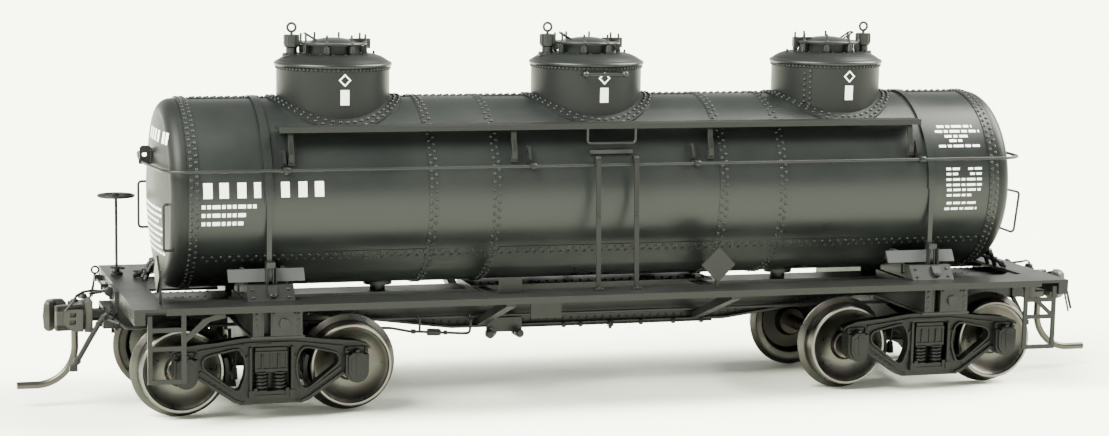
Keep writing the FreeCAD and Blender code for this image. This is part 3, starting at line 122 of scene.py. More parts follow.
# ---- materials ----

def node_at(tree, kind, **inputs):
    node = tree.nodes.new(kind)
    for name, value in inputs.items():
        node.inputs[name.replace("_", " ")].default_value = value
    return node


def blank(name):
    material = bpy.data.materials.new(name)
    material.use_nodes = True
    tree = material.node_tree
    return material, tree, tree.nodes["Principled BSDF"]


def ramp(tree, stops):
    """A colour ramp; each stop is a place from 0 to 1 and a colour."""
    node = tree.nodes.new("ShaderNodeValToRGB")
    bands = node.color_ramp.elements
    while len(bands) < len(stops):
        bands.new(0.5)
    for band, (place, colour) in zip(bands, stops):
        band.position = place
        band.color = (*colour, 1.0)
    return node


def shade(colour, factor):
    return tuple(min(1.0, part * factor) for part in colour)


def paint(name, colour, roughness, metallic=0.0, grain=260.0, depth=0.000012, fleck=0.18, swing=0.08,
          sheen=SHEEN):
    """Painted or moulded surface: cloudy colour, uneven gloss and a fine grain in the surface."""
    material, tree, shader = blank(name)
    where = tree.nodes.new("ShaderNodeTexCoord")
    cloud = node_at(tree, "ShaderNodeTexNoise", Scale=95.0, Detail=5.0, Roughness=0.6)
    fine = node_at(tree, "ShaderNodeTexNoise", Scale=grain * 12.0, Detail=3.0, Roughness=0.55)
    tint = ramp(tree, [(0.3, shade(colour, 1.0 - fleck)), (0.7, shade(colour, 1.0 + fleck))])
    gloss = node_at(tree, "ShaderNodeMapRange", From_Min=0.25, From_Max=0.75,
                    To_Min=roughness - swing, To_Max=roughness + swing)
    bump = node_at(tree, "ShaderNodeBump", Strength=0.35, Distance=depth)
    link = tree.links.new
    link(where.outputs["Object"], cloud.inputs["Vector"])
    link(where.outputs["Object"], fine.inputs["Vector"])
    link(cloud.outputs["Fac"], tint.inputs["Fac"])
    link(cloud.outputs["Fac"], gloss.inputs["Value"])
    link(fine.outputs["Fac"], bump.inputs["Height"])
    link(tint.outputs["Color"], shader.inputs["Base Color"])
    link(gloss.outputs["Result"], shader.inputs["Roughness"])
    link(bump.outputs["Normal"], shader.inputs["Normal"])
    shader.inputs["Metallic"].default_value = metallic
    shader.inputs["Specular IOR Level"].default_value = sheen
    return material


def wheel_metal(name, centre):
    """Turned wheel: the colour changes with the distance from the axle at centre (x, z in mm)."""
    material, tree, shader = blank(name)
    where = tree.nodes.new("ShaderNodeTexCoord")
    shift = tree.nodes.new("ShaderNodeVectorMath")
    shift.operation = "SUBTRACT"
    shift.inputs[1].default_value = (centre[0] * MM, 0.0, centre[1] * MM)
    flat = tree.nodes.new("ShaderNodeVectorMath")
    flat.operation = "MULTIPLY"
    flat.inputs[1].default_value = (1.0, 0.0, 1.0)
    size = tree.nodes.new("ShaderNodeVectorMath")
    size.operation = "LENGTH"
    band = node_at(tree, "ShaderNodeMapRange", From_Min=0.0, From_Max=6.0 * MM)
    plate, rim = (0.062, 0.059, 0.052), (0.125, 0.122, 0.112)
    tint = ramp(tree, [(0.0, (0.03, 0.028, 0.026)), (0.12, (0.05, 0.045, 0.04)), (0.19, (0.07, 0.062, 0.053)),
                       (0.30, plate), (0.66, shade(plate, 0.8)), (0.71, rim), (0.78, rim),
                       (0.80, (0.05, 0.048, 0.043)), (0.93, (0.07, 0.068, 0.062))])
    stain = node_at(tree, "ShaderNodeTexNoise", Scale=420.0, Detail=4.0, Roughness=0.6)
    mix = tree.nodes.new("ShaderNodeMix")
    mix.data_type = "RGBA"
    mix.blend_type = "MULTIPLY"
    mix.inputs["Factor"].default_value = 0.35
    gloss = node_at(tree, "ShaderNodeMapRange", From_Min=0.3, From_Max=0.7, To_Min=0.24, To_Max=0.42)
    rings = tree.nodes.new("ShaderNodeTexWave")
    rings.wave_type = "RINGS"
    rings.rings_direction = "Y"
    rings.inputs["Scale"].default_value = 2200.0
    rings.inputs["Distortion"].default_value = 0.4
    bump = node_at(tree, "ShaderNodeBump", Strength=0.15, Distance=0.000008)
    link = tree.links.new
    link(where.outputs["Object"], shift.inputs[0])
    link(shift.outputs[0], flat.inputs[0])
    link(flat.outputs[0], size.inputs[0])
    link(size.outputs["Value"], band.inputs["Value"])
    link(band.outputs["Result"], tint.inputs["Fac"])
    link(where.outputs["Object"], stain.inputs["Vector"])
    link(tint.outputs["Color"], mix.inputs["A"])
    link(stain.outputs["Color"], mix.inputs["B"])
    link(mix.outputs["Result"], shader.inputs["Base Color"])
    link(stain.outputs["Fac"], gloss.inputs["Value"])
    link(gloss.outputs["Result"], shader.inputs["Roughness"])
    link(shift.outputs[0], rings.inputs["Vector"])
    link(rings.outputs["Fac"], bump.inputs["Height"])
    link(bump.outputs["Normal"], shader.inputs["Normal"])
    shader.inputs["Metallic"].default_value = 1.0
    return material


TANK = paint("TankBlack", (0.0064, 0.0076, 0.0074), 0.33, grain=300.0, depth=0.00001)
# A darker, less glossy copy of the tank's paint for the heads and domes, which carry the same paint as the
# shell: painted shade that dims their reflections.
SHADED_HEAD_PAINT = paint("HeadBlackShaded", (0.0060, 0.0068, 0.0066), 0.42, grain=300.0, depth=0.00001, sheen=0.12)
FRAME = paint("FrameBlack", (0.0060, 0.0064, 0.0062), 0.40, grain=340.0, sheen=0.16)
WIRE = paint("WireBlack", (0.0070, 0.0070, 0.0072), 0.38, grain=400.0)
TRUCK = paint("TruckBlack", (0.0040, 0.0042, 0.0040), 0.40, grain=360.0, sheen=0.13)
BOARD = paint("BoardGrey", (0.027, 0.0290, 0.0290), 0.50, grain=300.0, sheen=0.16)
BRONZE = paint("CouplerBronze", (0.022, 0.0205, 0.019), 0.38, metallic=0.4, grain=380.0)
PIN = paint("PinSteel", (0.055, 0.051, 0.045), 0.30, metallic=0.85, grain=300.0, fleck=0.12)
BLUED = paint("BluedSteel", (0.10, 0.10, 0.105), 0.35, metallic=1.0, grain=300.0)
WHITE = paint("WhiteMarks", (0.72, 0.75, 0.74), 0.6, grain=500.0, fleck=0.05)
IRON = paint("BallastIron", (0.16, 0.16, 0.165), 0.6, metallic=0.8)

SLOT_LOOKS = {
    "satin_black": TANK, "frame_black": FRAME, "wire_black": WIRE, "truck_black": TRUCK,
    "board_grey": BOARD, "coupler_bronze": BRONZE, "screw_steel": BLUED, "ballast_iron": IRON,
}
KINGPIN = 40.1
HALF_BASE = 9.625
AXLE_HEIGHT = 5.53


def dress_nodes():
    """Every CAD node gets the material of its slot, except the tank's heads and domes, which get a darker,
    duller copy of the tank's paint as painted shade.
    """
    for part in frame["record"]["subparts"]:
        name, slot = part["node"], part["material_slot"]
        if slot == "wheel_steel":
            low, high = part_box(name)
            look_of = wheel_metal("Wheel." + name, ((low[0] + high[0]) / 2 / MM, AXLE_HEIGHT))
        else:
            # heads and domes take the shaded copy of the tank's paint: painted shade
            look_of = SHADED_HEAD_PAINT if name.startswith(("tank_head", "dome_")) else SLOT_LOOKS[slot]
        item = frame["nodes"][name]
        if not item.material_slots:
            item.data.materials.append(look_of)
        for place in item.material_slots:
            place.material = look_of


# ---- building pieces from millimetres ----

def turns(count, phase=0.0):
    """Even steps round a full turn, in radians."""
    return [math.tau * (index + phase) / count for index in range(count)]


def spot(x, y, radius, turn, z):
    """A point on a level circle round an upright line."""
    return Vector((x + radius * math.cos(turn), y + radius * math.sin(turn), z))


def side_axes(ahead):
    """Two directions square to one that is given."""
    guide = Vector((0, 0, 1)) if abs(ahead.z) < 0.9 else Vector((1, 0, 0))
    across = ahead.cross(guide).normalized()
    return across, across.cross(ahead)


class Shape:
    """Points and faces in millimetres, made into one piece at the end."""

    def __init__(self):
        self.points = []
        self.faces = []

    def add(self, points, faces):
        base = len(self.points)
        self.points.extend(Vector(point) for point in points)
        self.faces.extend(tuple(base + index for index in face) for face in faces)

    def block(self, low, high, taper=0.0):
        """A box; taper pulls its top face in along x and y."""
        (x0, y0, z0), (x1, y1, z1) = low, high
        t = taper
        self.add([(x0, y0, z0), (x1, y0, z0), (x1, y1, z0), (x0, y1, z0),
                  (x0 + t, y0 + t, z1), (x1 - t, y0 + t, z1), (x1 - t, y1 - t, z1), (x0 + t, y1 - t, z1)],
                 [(0, 3, 2, 1), (4, 5, 6, 7), (0, 1, 5, 4), (1, 2, 6, 5), (2, 3, 7, 6), (3, 0, 4, 7)])

    def strip(self, rings, closed_end=True, loop=False):
        """Skin equal rings of points into a tube."""
        count = len(rings[0])
        points = [point for ring in rings for point in ring]
        faces = []
        steps = len(rings) if loop else len(rings) - 1
        for step in range(steps):
            here, there = step * count, (step + 1) % len(rings) * count
            for side in range(count):
                after = (side + 1) % count
                faces.append((here + side, here + after, there + after, there + side))
        if closed_end and not loop:
            faces.append(tuple(reversed(range(count))))
            last = (len(rings) - 1) * count
            faces.append(tuple(last + side for side in range(count)))
        self.add(points, faces)

    def tube(self, path, radius, sides=10, loop=False):
        """A round bar along a path."""
        path = [Vector(point) for point in path]
        total = len(path)
        rings = []
        side_way = None
        for index, point in enumerate(path):
            before = path[(index - 1) % total] if loop or index else point
            after = path[(index + 1) % total] if loop or index < total - 1 else point
            ahead = (after - before).normalized()
            if side_way is None:
                side_way, _ = side_axes(ahead)
            else:
                side_way = (side_way - ahead * side_way.dot(ahead)).normalized()
            up = side_way.cross(ahead)
            rings.append([point + radius * (math.cos(turn) * side_way + math.sin(turn) * up)
                          for turn in turns(sides)])
        self.strip(rings, loop=loop)

    def turned(self, profile, centre, axis="z", sides=32, **ends):
        """A turned piece: the profile lists (radius, distance along the axis)."""
        rings = []
        for radius, along in profile:
            ring = []
            for turn in turns(sides):
                a, b = radius * math.cos(turn), radius * math.sin(turn)
                offset = {"z": (a, b, along), "x": (along, a, b), "y": (b, along, a)}[axis]
                ring.append(Vector(centre) + Vector(offset))
            rings.append(ring)
        self.strip(rings, **ends)

    def rivet(self, place, out, radius=0.2, height=0.13, sides=8):
        """A domed head standing on a surface whose normal is out."""
        out = Vector(out).normalized()
        across, up = side_axes(out)
        place = Vector(place)
        points = []
        for share, lift in ((1.0, -0.05), (0.94, 0.45), (0.62, 0.86)):
            for turn in turns(sides):
                points.append(place + radius * share * (math.cos(turn) * across + math.sin(turn) * up)
                              + height * lift * out)
        points.append(place + height * out)
        faces = [tuple(reversed(range(sides)))]
        for level in range(2):
            for side in range(sides):
                after = (side + 1) % sides
                faces.append((level * sides + side, level * sides + after,
                              (level + 1) * sides + after, (level + 1) * sides + side))
        top = 3 * sides
        faces.extend((2 * sides + side, 2 * sides + (side + 1) % sides, top) for side in range(sides))
        self.add(points, faces)

    def bar(self, path, x, width, gauge):
        """A flat bar bent along a path of (y, z) points, its width across the path along x."""
        path = [Vector(point) for point in path]
        rings = []
        for index, point in enumerate(path):
            before, after = path[max(index - 1, 0)], path[min(index + 1, len(path) - 1)]
            ahead = (after - before).normalized()
            side = Vector((-ahead.y, ahead.x)) * gauge / 2
            low, high = point - side, point + side
            rings.append([(x - width / 2, *low), (x + width / 2, *low),
                          (x + width / 2, *high), (x - width / 2, *high)])
        self.strip(rings)

    def prism(self, place, out, radius, height, sides):
        """A bolt head, a nut or a plug; out is its axis."""
        out = Vector(out).normalized()
        across, up = side_axes(out)
        rings = []
        for share, lift in ((1.0, 0.0), (1.0, 0.8), (0.85, 1.0)):
            rings.append([Vector(place) + out * height * lift
                          + radius * share * (math.cos(turn) * across + math.sin(turn) * up)
                          for turn in turns(sides)])
        self.strip(rings)

    def plate(self, outline, low, high, holes=(), plane="xz"):
        """A flat plate: its outline and holes lie in a plane, and it runs from low to high across it."""
        loops = [[Vector((a, b, 0)) for a, b in loop] for loop in (outline, *holes)]
        triangles = mathutils.geometry.tessellate_polygon(loops)
        flat = [point for loop in loops for point in loop]

        def stand(point, across):
            return {"xz": (point.x, across, point.y), "yz": (across, point.x, point.y),
                    "xy": (point.x, point.y, across)}[plane]

        count = len(flat)
        points = [stand(point, low) for point in flat] + [stand(point, high) for point in flat]
        faces = [tuple(face) for face in triangles]
        faces += [tuple(count + index for index in reversed(face)) for face in triangles]
        start = 0
        for loop in loops:
            for index in range(len(loop)):
                here, after = start + index, start + (index + 1) % len(loop)
                faces.append((here, after, count + after, count + here))
            start += len(loop)
        self.add(points, faces)

    def copy(self, matrix):
        other = Shape()
        other.points = [matrix @ point for point in self.points]
        other.faces = list(self.faces)
        return other

    def merge(self, other):
        self.add(other.points, other.faces)

    def turned_round(self):
        """This shape together with its copy turned by half a turn about the upright axis."""
        both = Shape()
        both.merge(self)
        both.merge(self.copy(HALF_TURN))
        return both

    def both_sides(self):
        both = Shape()
        both.merge(self)
        flipped = self.copy(MIRROR_Y)
        flipped.faces = [tuple(reversed(face)) for face in flipped.faces]
        both.merge(flipped)
        return both

    def piece(self, name, body, material, slot, bevel=0.0, smooth=35.0):
        """Make the Blender object, in metres, riding on a body."""
        mesh = bpy.data.meshes.new(name)
        mesh.from_pydata([point * MM for point in self.points], [], self.faces)
        mesh.validate()
        work = bmesh.new()
        work.from_mesh(mesh)
        bmesh.ops.recalc_face_normals(work, faces=work.faces)
        for face in work.faces:
            face.smooth = True
        for edge in work.edges:
            if len(edge.link_faces) == 2 and edge.calc_face_angle(0.0) > math.radians(smooth):
                edge.smooth = False
        work.to_mesh(mesh)
        work.free()
        item = bpy.data.objects.new(name, mesh)
        bpy.context.scene.collection.objects.link(item)
        mesh.materials.append(material)
        if bevel:
            rounding = item.modifiers.new("Edges", "BEVEL")
            rounding.width = bevel * MM
            rounding.segments = 2
            rounding.limit_method = "ANGLE"
            rounding.angle_limit = math.radians(40.0)
            rounding.harden_normals = False
        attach(item, body)
        return item


HALF_TURN = Matrix.Rotation(math.pi, 4, "Z")
MIRROR_Y = Matrix.Scale(-1.0, 4, Vector((0, 1, 0)))


def bend(points, radius, steps=5):
    """A path with its corners rounded."""
    points = [Vector(point) for point in points]
    path = [points[0]]
    for before, corner, after in zip(points, points[1:], points[2:]):
        back, onward = (before - corner).normalized(), (after - corner).normalized()
        turn = math.pi - back.angle(onward)
        shorter = min((before - corner).length, (after - corner).length)
        reach = min(radius * math.tan(turn / 2), 0.49 * shorter)
        start, end = corner + back * reach, corner + onward * reach
        for step in range(steps + 1):
            share = step / steps
            path.append(start * (1 - share) ** 2 + corner * 2 * share * (1 - share) + end * share ** 2)
    path.append(points[-1])
    return path


# ---- the tank ----

def mm_box(name):
    low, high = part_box(name)
    return Vector(low) / MM, Vector(high) / MM


SHELL_LOW, SHELL_HIGH = mm_box("tank_shell")
TANK_R = (SHELL_HIGH.y - SHELL_LOW.y) / 2
AXIS = SHELL_LOW.z + TANK_R
DOMES = {}
for letter in "bca":
    dome_low, dome_high = mm_box("dome_" + letter)
    DOMES[letter] = (dome_low.x + dome_high.x) / 2
DOME_R = 6.53
DOME_SEAM = 42.0
LIP = 38.98
CROWN = 40.05
MANWAY_R = 3.76
GRAB_HALF, GRAB_Z = 2.4, 38.0
TANK_RIVET = (0.21, 0.15)
END_SEAM = (47.8, 49.02)
COURSE = (13.2, 21.75)
RAIL_SIDE = 11.8
RAIL_Z = 28.0
RAIL_POSTS = (-38.3, -9.9, 9.9, 38.3)


def around(x, degrees, radius=TANK_R):
    """A point on the tank and its outward direction; degrees run from the bottom towards the near side."""
    turn = math.radians(degrees)
    out = Vector((0.0, -math.sin(turn), -math.cos(turn)))
    return Vector((x, 0.0, AXIS)) + out * radius, out


def at_height(z):
    """The angle, for around(), of a height on the near side of the shell."""
    return 90.0 + math.degrees(math.asin((z - AXIS) / TANK_R))


def rivet_ring(shape, x, pitch, phase=0.0, lift=0.0):
    """Rivets all round the shell."""
    count = round(math.tau * TANK_R / pitch)
    for index in range(count):
        place, out = around(x, 360.0 * (index + phase) / count, TANK_R + lift)
        shape.rivet(place, out, *TANK_RIVET)


def rivet_line(shape, x0, x1, degrees, pitch, lift=0.0):
    """A row of rivets along the shell."""
    count = max(1, round((x1 - x0) / pitch))
    for index in range(count + 1):
        place, out = around(x0 + (x1 - x0) * index / count, degrees, TANK_R + lift)
        shape.rivet(place, out, *TANK_RIVET)


def sheet(shape, x0, x1, start, end, lift, drop=0.08, steps=None):
    """A curved plate lying on the shell between two angles."""
    steps = steps or max(2, round(abs(end - start) / 4))
    rings = []
    for step in range(steps + 1):
        degrees = start + (end - start) * step / steps
        rings.append([around(x, degrees, TANK_R + height)[0]
                      for x, height in ((x0, -drop), (x0, lift), (x1, lift), (x1, -drop))])
    if abs(end - start) >= 360:
        shape.strip(rings[:-1], loop=True)
    else:
        shape.strip(rings)


def tank_seams():
    plates = Shape()
    rivets = Shape()
    for sign in (-1, 1):
        edges = sorted(sign * x for x in END_SEAM)
        sheet(plates, *edges, 0, 360, 0.09, steps=120)
        rivet_ring(rivets, sign * 48.1, 0.8, lift=0.09)
        rivet_ring(rivets, sign * 48.72, 0.8, phase=0.5, lift=0.09)
        courses = sorted(sign * x for x in COURSE)
        sheet(plates, *courses, 0, 360, 0.05, steps=120)
        for x in (13.52, 21.46):
            rivet_ring(rivets, sign * x, 0.92, lift=0.05)
        for x in (14.08, 20.9):
            rivet_ring(rivets, sign * x, 0.92, phase=0.5, lift=0.05)
        sheet(plates, -47.7, 47.7, sign * 57.2, sign * 38.0, 0.07)
        rivet_line(rivets, -47.2, 47.2, sign * 55.0, 1.0, lift=0.07)
        rivet_line(rivets, -46.7, 46.7, sign * 52.0, 1.0, lift=0.07)
    for x0, x1 in ((-47.2, -39.0), (-22.2, -8.3), (8.3, 22.2), (39.0, 47.2)):
        sheet(plates, x0 - 0.4, x1 + 0.4, 176.6, 183.4, 0.07)
        rivet_line(rivets, x0, x1, 178.6, 0.84, lift=0.07)
        rivet_line(rivets, x0 + 0.4, x1 - 0.4, 181.8, 0.84, lift=0.07)
    plates.piece("tank_seam_plates", "wagon", TANK, "satin_black")
    rivets.piece("tank_rivets", "wagon", TANK, "satin_black", smooth=60.0)


def dome_details():
    rivets = Shape()
    trim = Shape()
    for letter, cx in DOMES.items():
        for radius, phase in ((7.02, 0.0), (7.58, 0.5)):
            for turn in turns(round(math.tau * radius / 0.84), phase):
                x, y = radius * math.cos(turn), radius * math.sin(turn)
                height = math.sqrt((TANK_R + 0.17) ** 2 - y ** 2)
                rivets.rivet((cx + x, y, AXIS + height), (0, y, height), 0.22, 0.16)
        for turn in turns(round(math.tau * DOME_R / 0.5)):
            out = Vector((math.cos(turn), math.sin(turn), 0))
            rivets.rivet(Vector((cx, 0, LIP - 0.4)) + out * DOME_R, out, 0.19, 0.16, sides=7)
        # a rolled bead round the cap and a ring of studs round the manway neck
        profile = [(DOME_R + 0.02, LIP - 0.26), (DOME_R + 0.16, LIP - 0.24), (DOME_R + 0.25, LIP - 0.14),
                   (DOME_R + 0.29, LIP), (DOME_R + 0.25, LIP + 0.14), (DOME_R + 0.16, LIP + 0.24),
                   (DOME_R + 0.02, LIP + 0.3)]
        trim.turned(profile, (cx, 0, 0), sides=72)
        for turn in turns(16, 0.5):
            trim.prism(spot(cx, 0.0, 3.75, turn, CROWN - 0.1), (0, 0, 1), 0.15, 0.25, 6)
        flip = -1 if letter == "a" else 1
        trim.prism((cx + flip * 4.9, 0.4, CROWN - 0.45), (0, 0, 1), 0.3, 0.3, 8)
        trim.prism((cx + flip * 4.9, 0.4, CROWN - 0.2), (0, 0, 1), 0.14, 0.55, 8)
    # the seam up the wall of the dome farthest from the handbrake
    for row, stagger in ((-0.36, 0.0), (0.36, 0.33)):
        for step in range(7):
            turn = math.radians(DOME_SEAM) + row / DOME_R
            out = Vector((-math.sin(turn), -math.cos(turn), 0))
            height = LIP - 0.95 - 0.66 * step - stagger
            rivets.rivet(Vector((DOMES["a"], 0, height)) + out * DOME_R, out, 0.2, 0.15)
    # bosses and a stouter bar on the middle dome's grab iron
    for x in (DOMES["c"] - GRAB_HALF, DOMES["c"] + GRAB_HALF):
        trim.turned([(0.0, -7.62), (0.24, -7.6), (0.36, -7.46), (0.36, -7.24), (0.22, -7.05), (0.0, -7.0)],
                    (x, 0, GRAB_Z), axis="y", sides=16)
        trim.tube([(x, -7.1, GRAB_Z), (x, -6.0, GRAB_Z)], 0.24, 10)
    reach = GRAB_HALF + 0.1
    trim.tube([(DOMES["c"] - reach, -7.3, GRAB_Z), (DOMES["c"] + reach, -7.3, GRAB_Z)], 0.2, 10)
    rivets.piece("dome_rivets", "wagon", TANK, "satin_black", smooth=60.0)
    trim.piece("dome_rims", "wagon", TANK, "satin_black")


def lid_details():
    """Ribs, rim and hinge on the manway lids, and bases and rings on the safety valves."""
    fittings = Shape()
    top = mm_box("manway_lids")[1].z
    for letter, cx in DOMES.items():
        flip = -1 if letter == "a" else 1
        for turn in turns(8, 0.5):
            x, y, _ = spot(cx, 0.0, MANWAY_R, turn, 0.0)
            fittings.prism((x, y, 41.32), (0, 0, 1), 0.24, 0.24, 6)
            fittings.tube([(x, y, 41.5), (x, y, 42.2)], 0.11, 8)
            fittings.block((x - 0.22, y - 0.22, 40.2), (x + 0.22, y + 0.22, 41.1), taper=0.05)
        boss = [(0.0, top - 0.75), (0.55, top - 0.75), (0.5, top - 0.6), (0.0, top - 0.58)]
        fittings.turned(boss, (cx, 0, 0))
        rim = [(3.3, 41.18), (3.88, 41.18), (3.95, 41.26), (3.95, 41.36), (3.88, 41.44), (3.3, 41.48)]
        fittings.turned(rim, (cx, 0, 0), sides=64, closed_end=False)
        valve = cx - flip * 4.85
        for turn in turns(6, 0.5):
            fittings.prism(spot(valve, 0.0, 0.9, turn, 39.86), (0, 0, 1), 0.14, 0.36, 6)
        for turn in turns(14):
            fittings.tube([spot(valve, 0.0, 0.87, turn, height) for height in (41.15, 42.2)], 0.075, 5)
    fittings.piece("manway_fittings", "wagon", TANK, "satin_black")


# ---- plain painted marks, with no lettering ----

MARK_LIFT = 0.03
HEAD_DISH = 42.8


def mark_row(shape, x0, x1, z, height, widths, gap):
    """A row of plain upright blocks on the near side of the shell, repeated until the row is full."""
    x = x0
    index = 0
    while x < x1 - 0.1:
        width = min(widths[index % len(widths)], x1 - x)
        sheet(shape, x, x + width, at_height(z - height / 2), at_height(z + height / 2), MARK_LIFT, drop=0.0,
              steps=3)
        x += width + gap
        index += 1


def diamond(shape, cx, z, size, width, radius):
    """An open square stood on its corner, wrapped on a dome."""
    corners = [(0.0, size), (size, 0.0), (0.0, -size), (-size, 0.0)]

    def on_dome(dx, dz, lift):
        turn = dx / radius
        return Vector((cx + (radius + lift) * math.sin(turn), -(radius + lift) * math.cos(turn), z + dz))

    inner = 1.0 - width / size
    rings = []
    for dx, dz in corners:
        rings.append([on_dome(dx, dz, 0.0), on_dome(dx, dz, MARK_LIFT),
                      on_dome(dx * inner, dz * inner, MARK_LIFT), on_dome(dx * inner, dz * inner, 0.0)])
    shape.strip(rings, loop=True)


def dome_block(shape, cx, x0, x1, z0, z1, radius):
    """A plain painted block wrapped on a dome."""
    rings = []
    for step in range(5):
        turn = (x0 + (x1 - x0) * step / 4) / radius
        out = Vector((math.sin(turn), -math.cos(turn), 0))
        rings.append([Vector((cx, 0, height)) + out * (radius + lift)
                      for height, lift in ((z0, 0.0), (z0, MARK_LIFT), (z1, MARK_LIFT), (z1, 0.0))])
    shape.strip(rings)


def marks():
    paint_on = Shape()
    for x0, x1 in ((-47.6, -46.2), (-45.8, -44.4), (-43.8, -42.45), (-41.9, -40.85), (-38.9, -37.6),
                   (-36.95, -35.6), (-35.1, -33.7)):
        middle, half = (x0 + x1) / 2, (x1 - x0) * 0.36
        mark_row(paint_on, middle - half, middle + half, 25.78, 1.7, [2 * half], 1.0)
    for x1, z in ((-41.4, 24.0), (-42.7, 23.05), (-42.95, 22.1)):
        mark_row(paint_on, -47.6, x1, z, 0.42, [0.4, 0.4, 0.85, 0.4], 0.2)
    for x0, x1, z in ((41.8, 46.4, 31.5), (41.4, 47.2, 30.95), (42.5, 45.5, 30.4), (43.0, 44.9, 29.9),
                      (41.5, 46.9, 29.3)):
        mark_row(paint_on, x0, x1, z, 0.26, [0.9, 0.5, 1.3, 0.7], 0.26)
    for x0, x1, z in ((42.1, 44.0, 26.65), (45.0, 46.8, 26.65), (42.1, 43.6, 26.05), (45.2, 46.7, 26.05),
                      (42.1, 46.9, 25.4), (42.1, 46.7, 24.75), (42.2, 46.6, 24.15), (42.2, 45.4, 23.5),
                      (42.3, 46.1, 22.55), (42.1, 46.3, 21.85)):
        mark_row(paint_on, x0, x1, z, 0.27, [0.6, 0.9, 0.45, 1.1], 0.24)
    for letter, cx in DOMES.items():
        across = {"b": 0.0, "c": 0.15, "a": 0.3}[letter]
        diamond(paint_on, cx + across, 37.5, 0.72, 0.22, DOME_R)
        dome_block(paint_on, cx, across - 0.5, across + 0.5, 34.7, 36.4, DOME_R)
    paint_on.turned_round().piece("tank_marks", "wagon", WHITE, "satin_black", smooth=60.0)

    head_marks = Shape()
    head_end = mm_box("tank_head_a")[1].x

    def head_point(y, z, lift):
        away = max(0.0, math.hypot(y, z - AXIS) - 0.456)
        return Vector((-(head_end - HEAD_DISH + math.sqrt(HEAD_DISH ** 2 - away ** 2) + lift), y, z))

    def head_bar(y0, y1, z, height):
        rings = []
        for step in range(7):
            y = y0 + (y1 - y0) * step / 6
            rings.append([head_point(y, z - height / 2, -0.01), head_point(y, z - height / 2, 0.04),
                          head_point(y, z + height / 2, 0.04), head_point(y, z + height / 2, -0.01)])
        head_marks.strip(rings)

    for y in (2.4, 0.7, -1.0, -2.7, -5.0, -6.3):
        head_bar(y, y - 0.85, 31.2, 1.3)
    for index in range(8):
        y = 3.0
        while y > -6.0 + 0.7 * (index % 3):
            head_bar(y, y - 1.0, 23.2 - 0.72 * index, 0.3)
            y -= 1.35
    head_marks.turned_round().piece("head_marks", "wagon", WHITE, "satin_black", smooth=60.0)


# ---- walkways, rail and ladders ----

def walkway_brackets():
    """Bent legs that carry the running boards, each with a bolted foot on the shell."""
    legs = Shape()
    leg = bend([(-8.2, 32.05, 0), (-9.75, 32.05, 0), (-9.85, 30.9, 0), (-10.35, 29.6, 0), (-10.3, 28.75, 0)],
               0.5)
    for x in (-37.5, -11.7, 12.1, 37.5):
        legs.bar([(point.x, point.y) for point in leg], x, 0.62, 0.26)
        foot, out = around(x, 112.0, TANK_R + 0.02)
        legs.block((x - 0.42, foot.y - 0.32, 28.35), (x + 0.42, foot.y + 0.3, 29.2), taper=0.05)
        legs.prism((x, foot.y - 0.3, 28.75), out, 0.2, 0.18, 6)
    legs = legs.both_sides()
    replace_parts(legs.piece("bent_walkway_legs", "wagon", FRAME, "frame_black", bevel=0.04),
                "running_board_brackets")


def rail_lugs():
    """Cast lugs on the shell that hold the handrail's posts."""
    lugs = Shape()
    for x in RAIL_POSTS:
        for start, end, lift, half in ((28.15, 29.95, 0.2, 0.34), (28.2, 28.75, 0.5, 0.26),
                                       (29.35, 29.9, 0.5, 0.26)):
            sheet(lugs, x - half, x + half, at_height(start), at_height(end), lift, steps=6)
        sheet(lugs, x - 0.16, x + 0.16, at_height(28.4), at_height(29.7), 0.75, steps=6)
        for height in (28.48, 29.62):
            place, out = around(x, at_height(height), TANK_R + 0.5)
            lugs.rivet(place, out, 0.2, 0.2)
        lugs.turned([(0.0, -0.36), (0.36, -0.36), (0.4, -0.2), (0.4, 0.2), (0.36, 0.36), (0.0, 0.36)],
                    (x, -RAIL_SIDE, RAIL_Z), axis="x", sides=16)
    lugs.both_sides().piece("handrail_lugs", "wagon", FRAME, "frame_black", smooth=45.0)


def ladder_rails():
    """Flat ladder stiles hooked over the handrail and bolted to the deck."""
    stiles = Shape()
    deck = mm_box("ladder_stiles")[0].z
    path = bend([(-11.1, 28.0, 0), (-11.15, 28.95, 0), (-12.3, 28.95, 0), (-12.35, 27.4, 0),
                 (-13.16, deck + 0.2, 0)], 0.45)
    for x in (-2.3, 2.3):
        stiles.bar([(point.x, point.y) for point in path], x, 0.56, 0.24)
        stiles.block((x - 0.5, -13.7, deck), (x + 0.5, -12.6, deck + 0.26), taper=0.04)
        stiles.prism((x, -12.8, deck + 0.2), (0, 0, 1), 0.2, 0.2, 6)
        stiles.prism((x, -13.45, deck + 0.2), (0, 0, 1), 0.2, 0.2, 6)
        stiles.prism((x, -12.62, 22.4), (0, -1, 0.06), 0.16, 0.3, 8)
    stiles = stiles.both_sides()
    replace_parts(stiles.piece("hooked_ladder_stiles", "wagon", FRAME, "frame_black", bevel=0.03),
                "ladder_stiles")


# ---- the underframe ----

SADDLE_TOP = 15.4
SADDLE_FACE = -12.3
SADDLE_SLOPE = 1.3 / 1.63
SADDLE_OUT = (0.0, -1.63, 1.3)
SADDLE_SHIFT_A, SADDLE_SHIFT_B = 0.55, 0.2
SILL_FACE = -2.2
SILL_DEEP, SILL_SHALLOW = 8.1, 10.3
BELLY_END, TAPER_END = 17.0, 34.0
BOLSTER_FACE = -15.97
BOLSTER_BOSS = 0.75
DECK_END = 52.2
SMALL_RIVET = (0.17, 0.12)


def saddle_face(height):
    """How far towards the near side the sloping face of a saddle stands at a height."""
    return SADDLE_FACE - (SADDLE_TOP - height) * SADDLE_SLOPE


def sill_bottom(x):
    """Height of the centre sill's lower edge."""
    share = (abs(x) - BELLY_END) / (TAPER_END - BELLY_END)
    return SILL_DEEP + (SILL_SHALLOW - SILL_DEEP) * min(1.0, max(0.0, share))


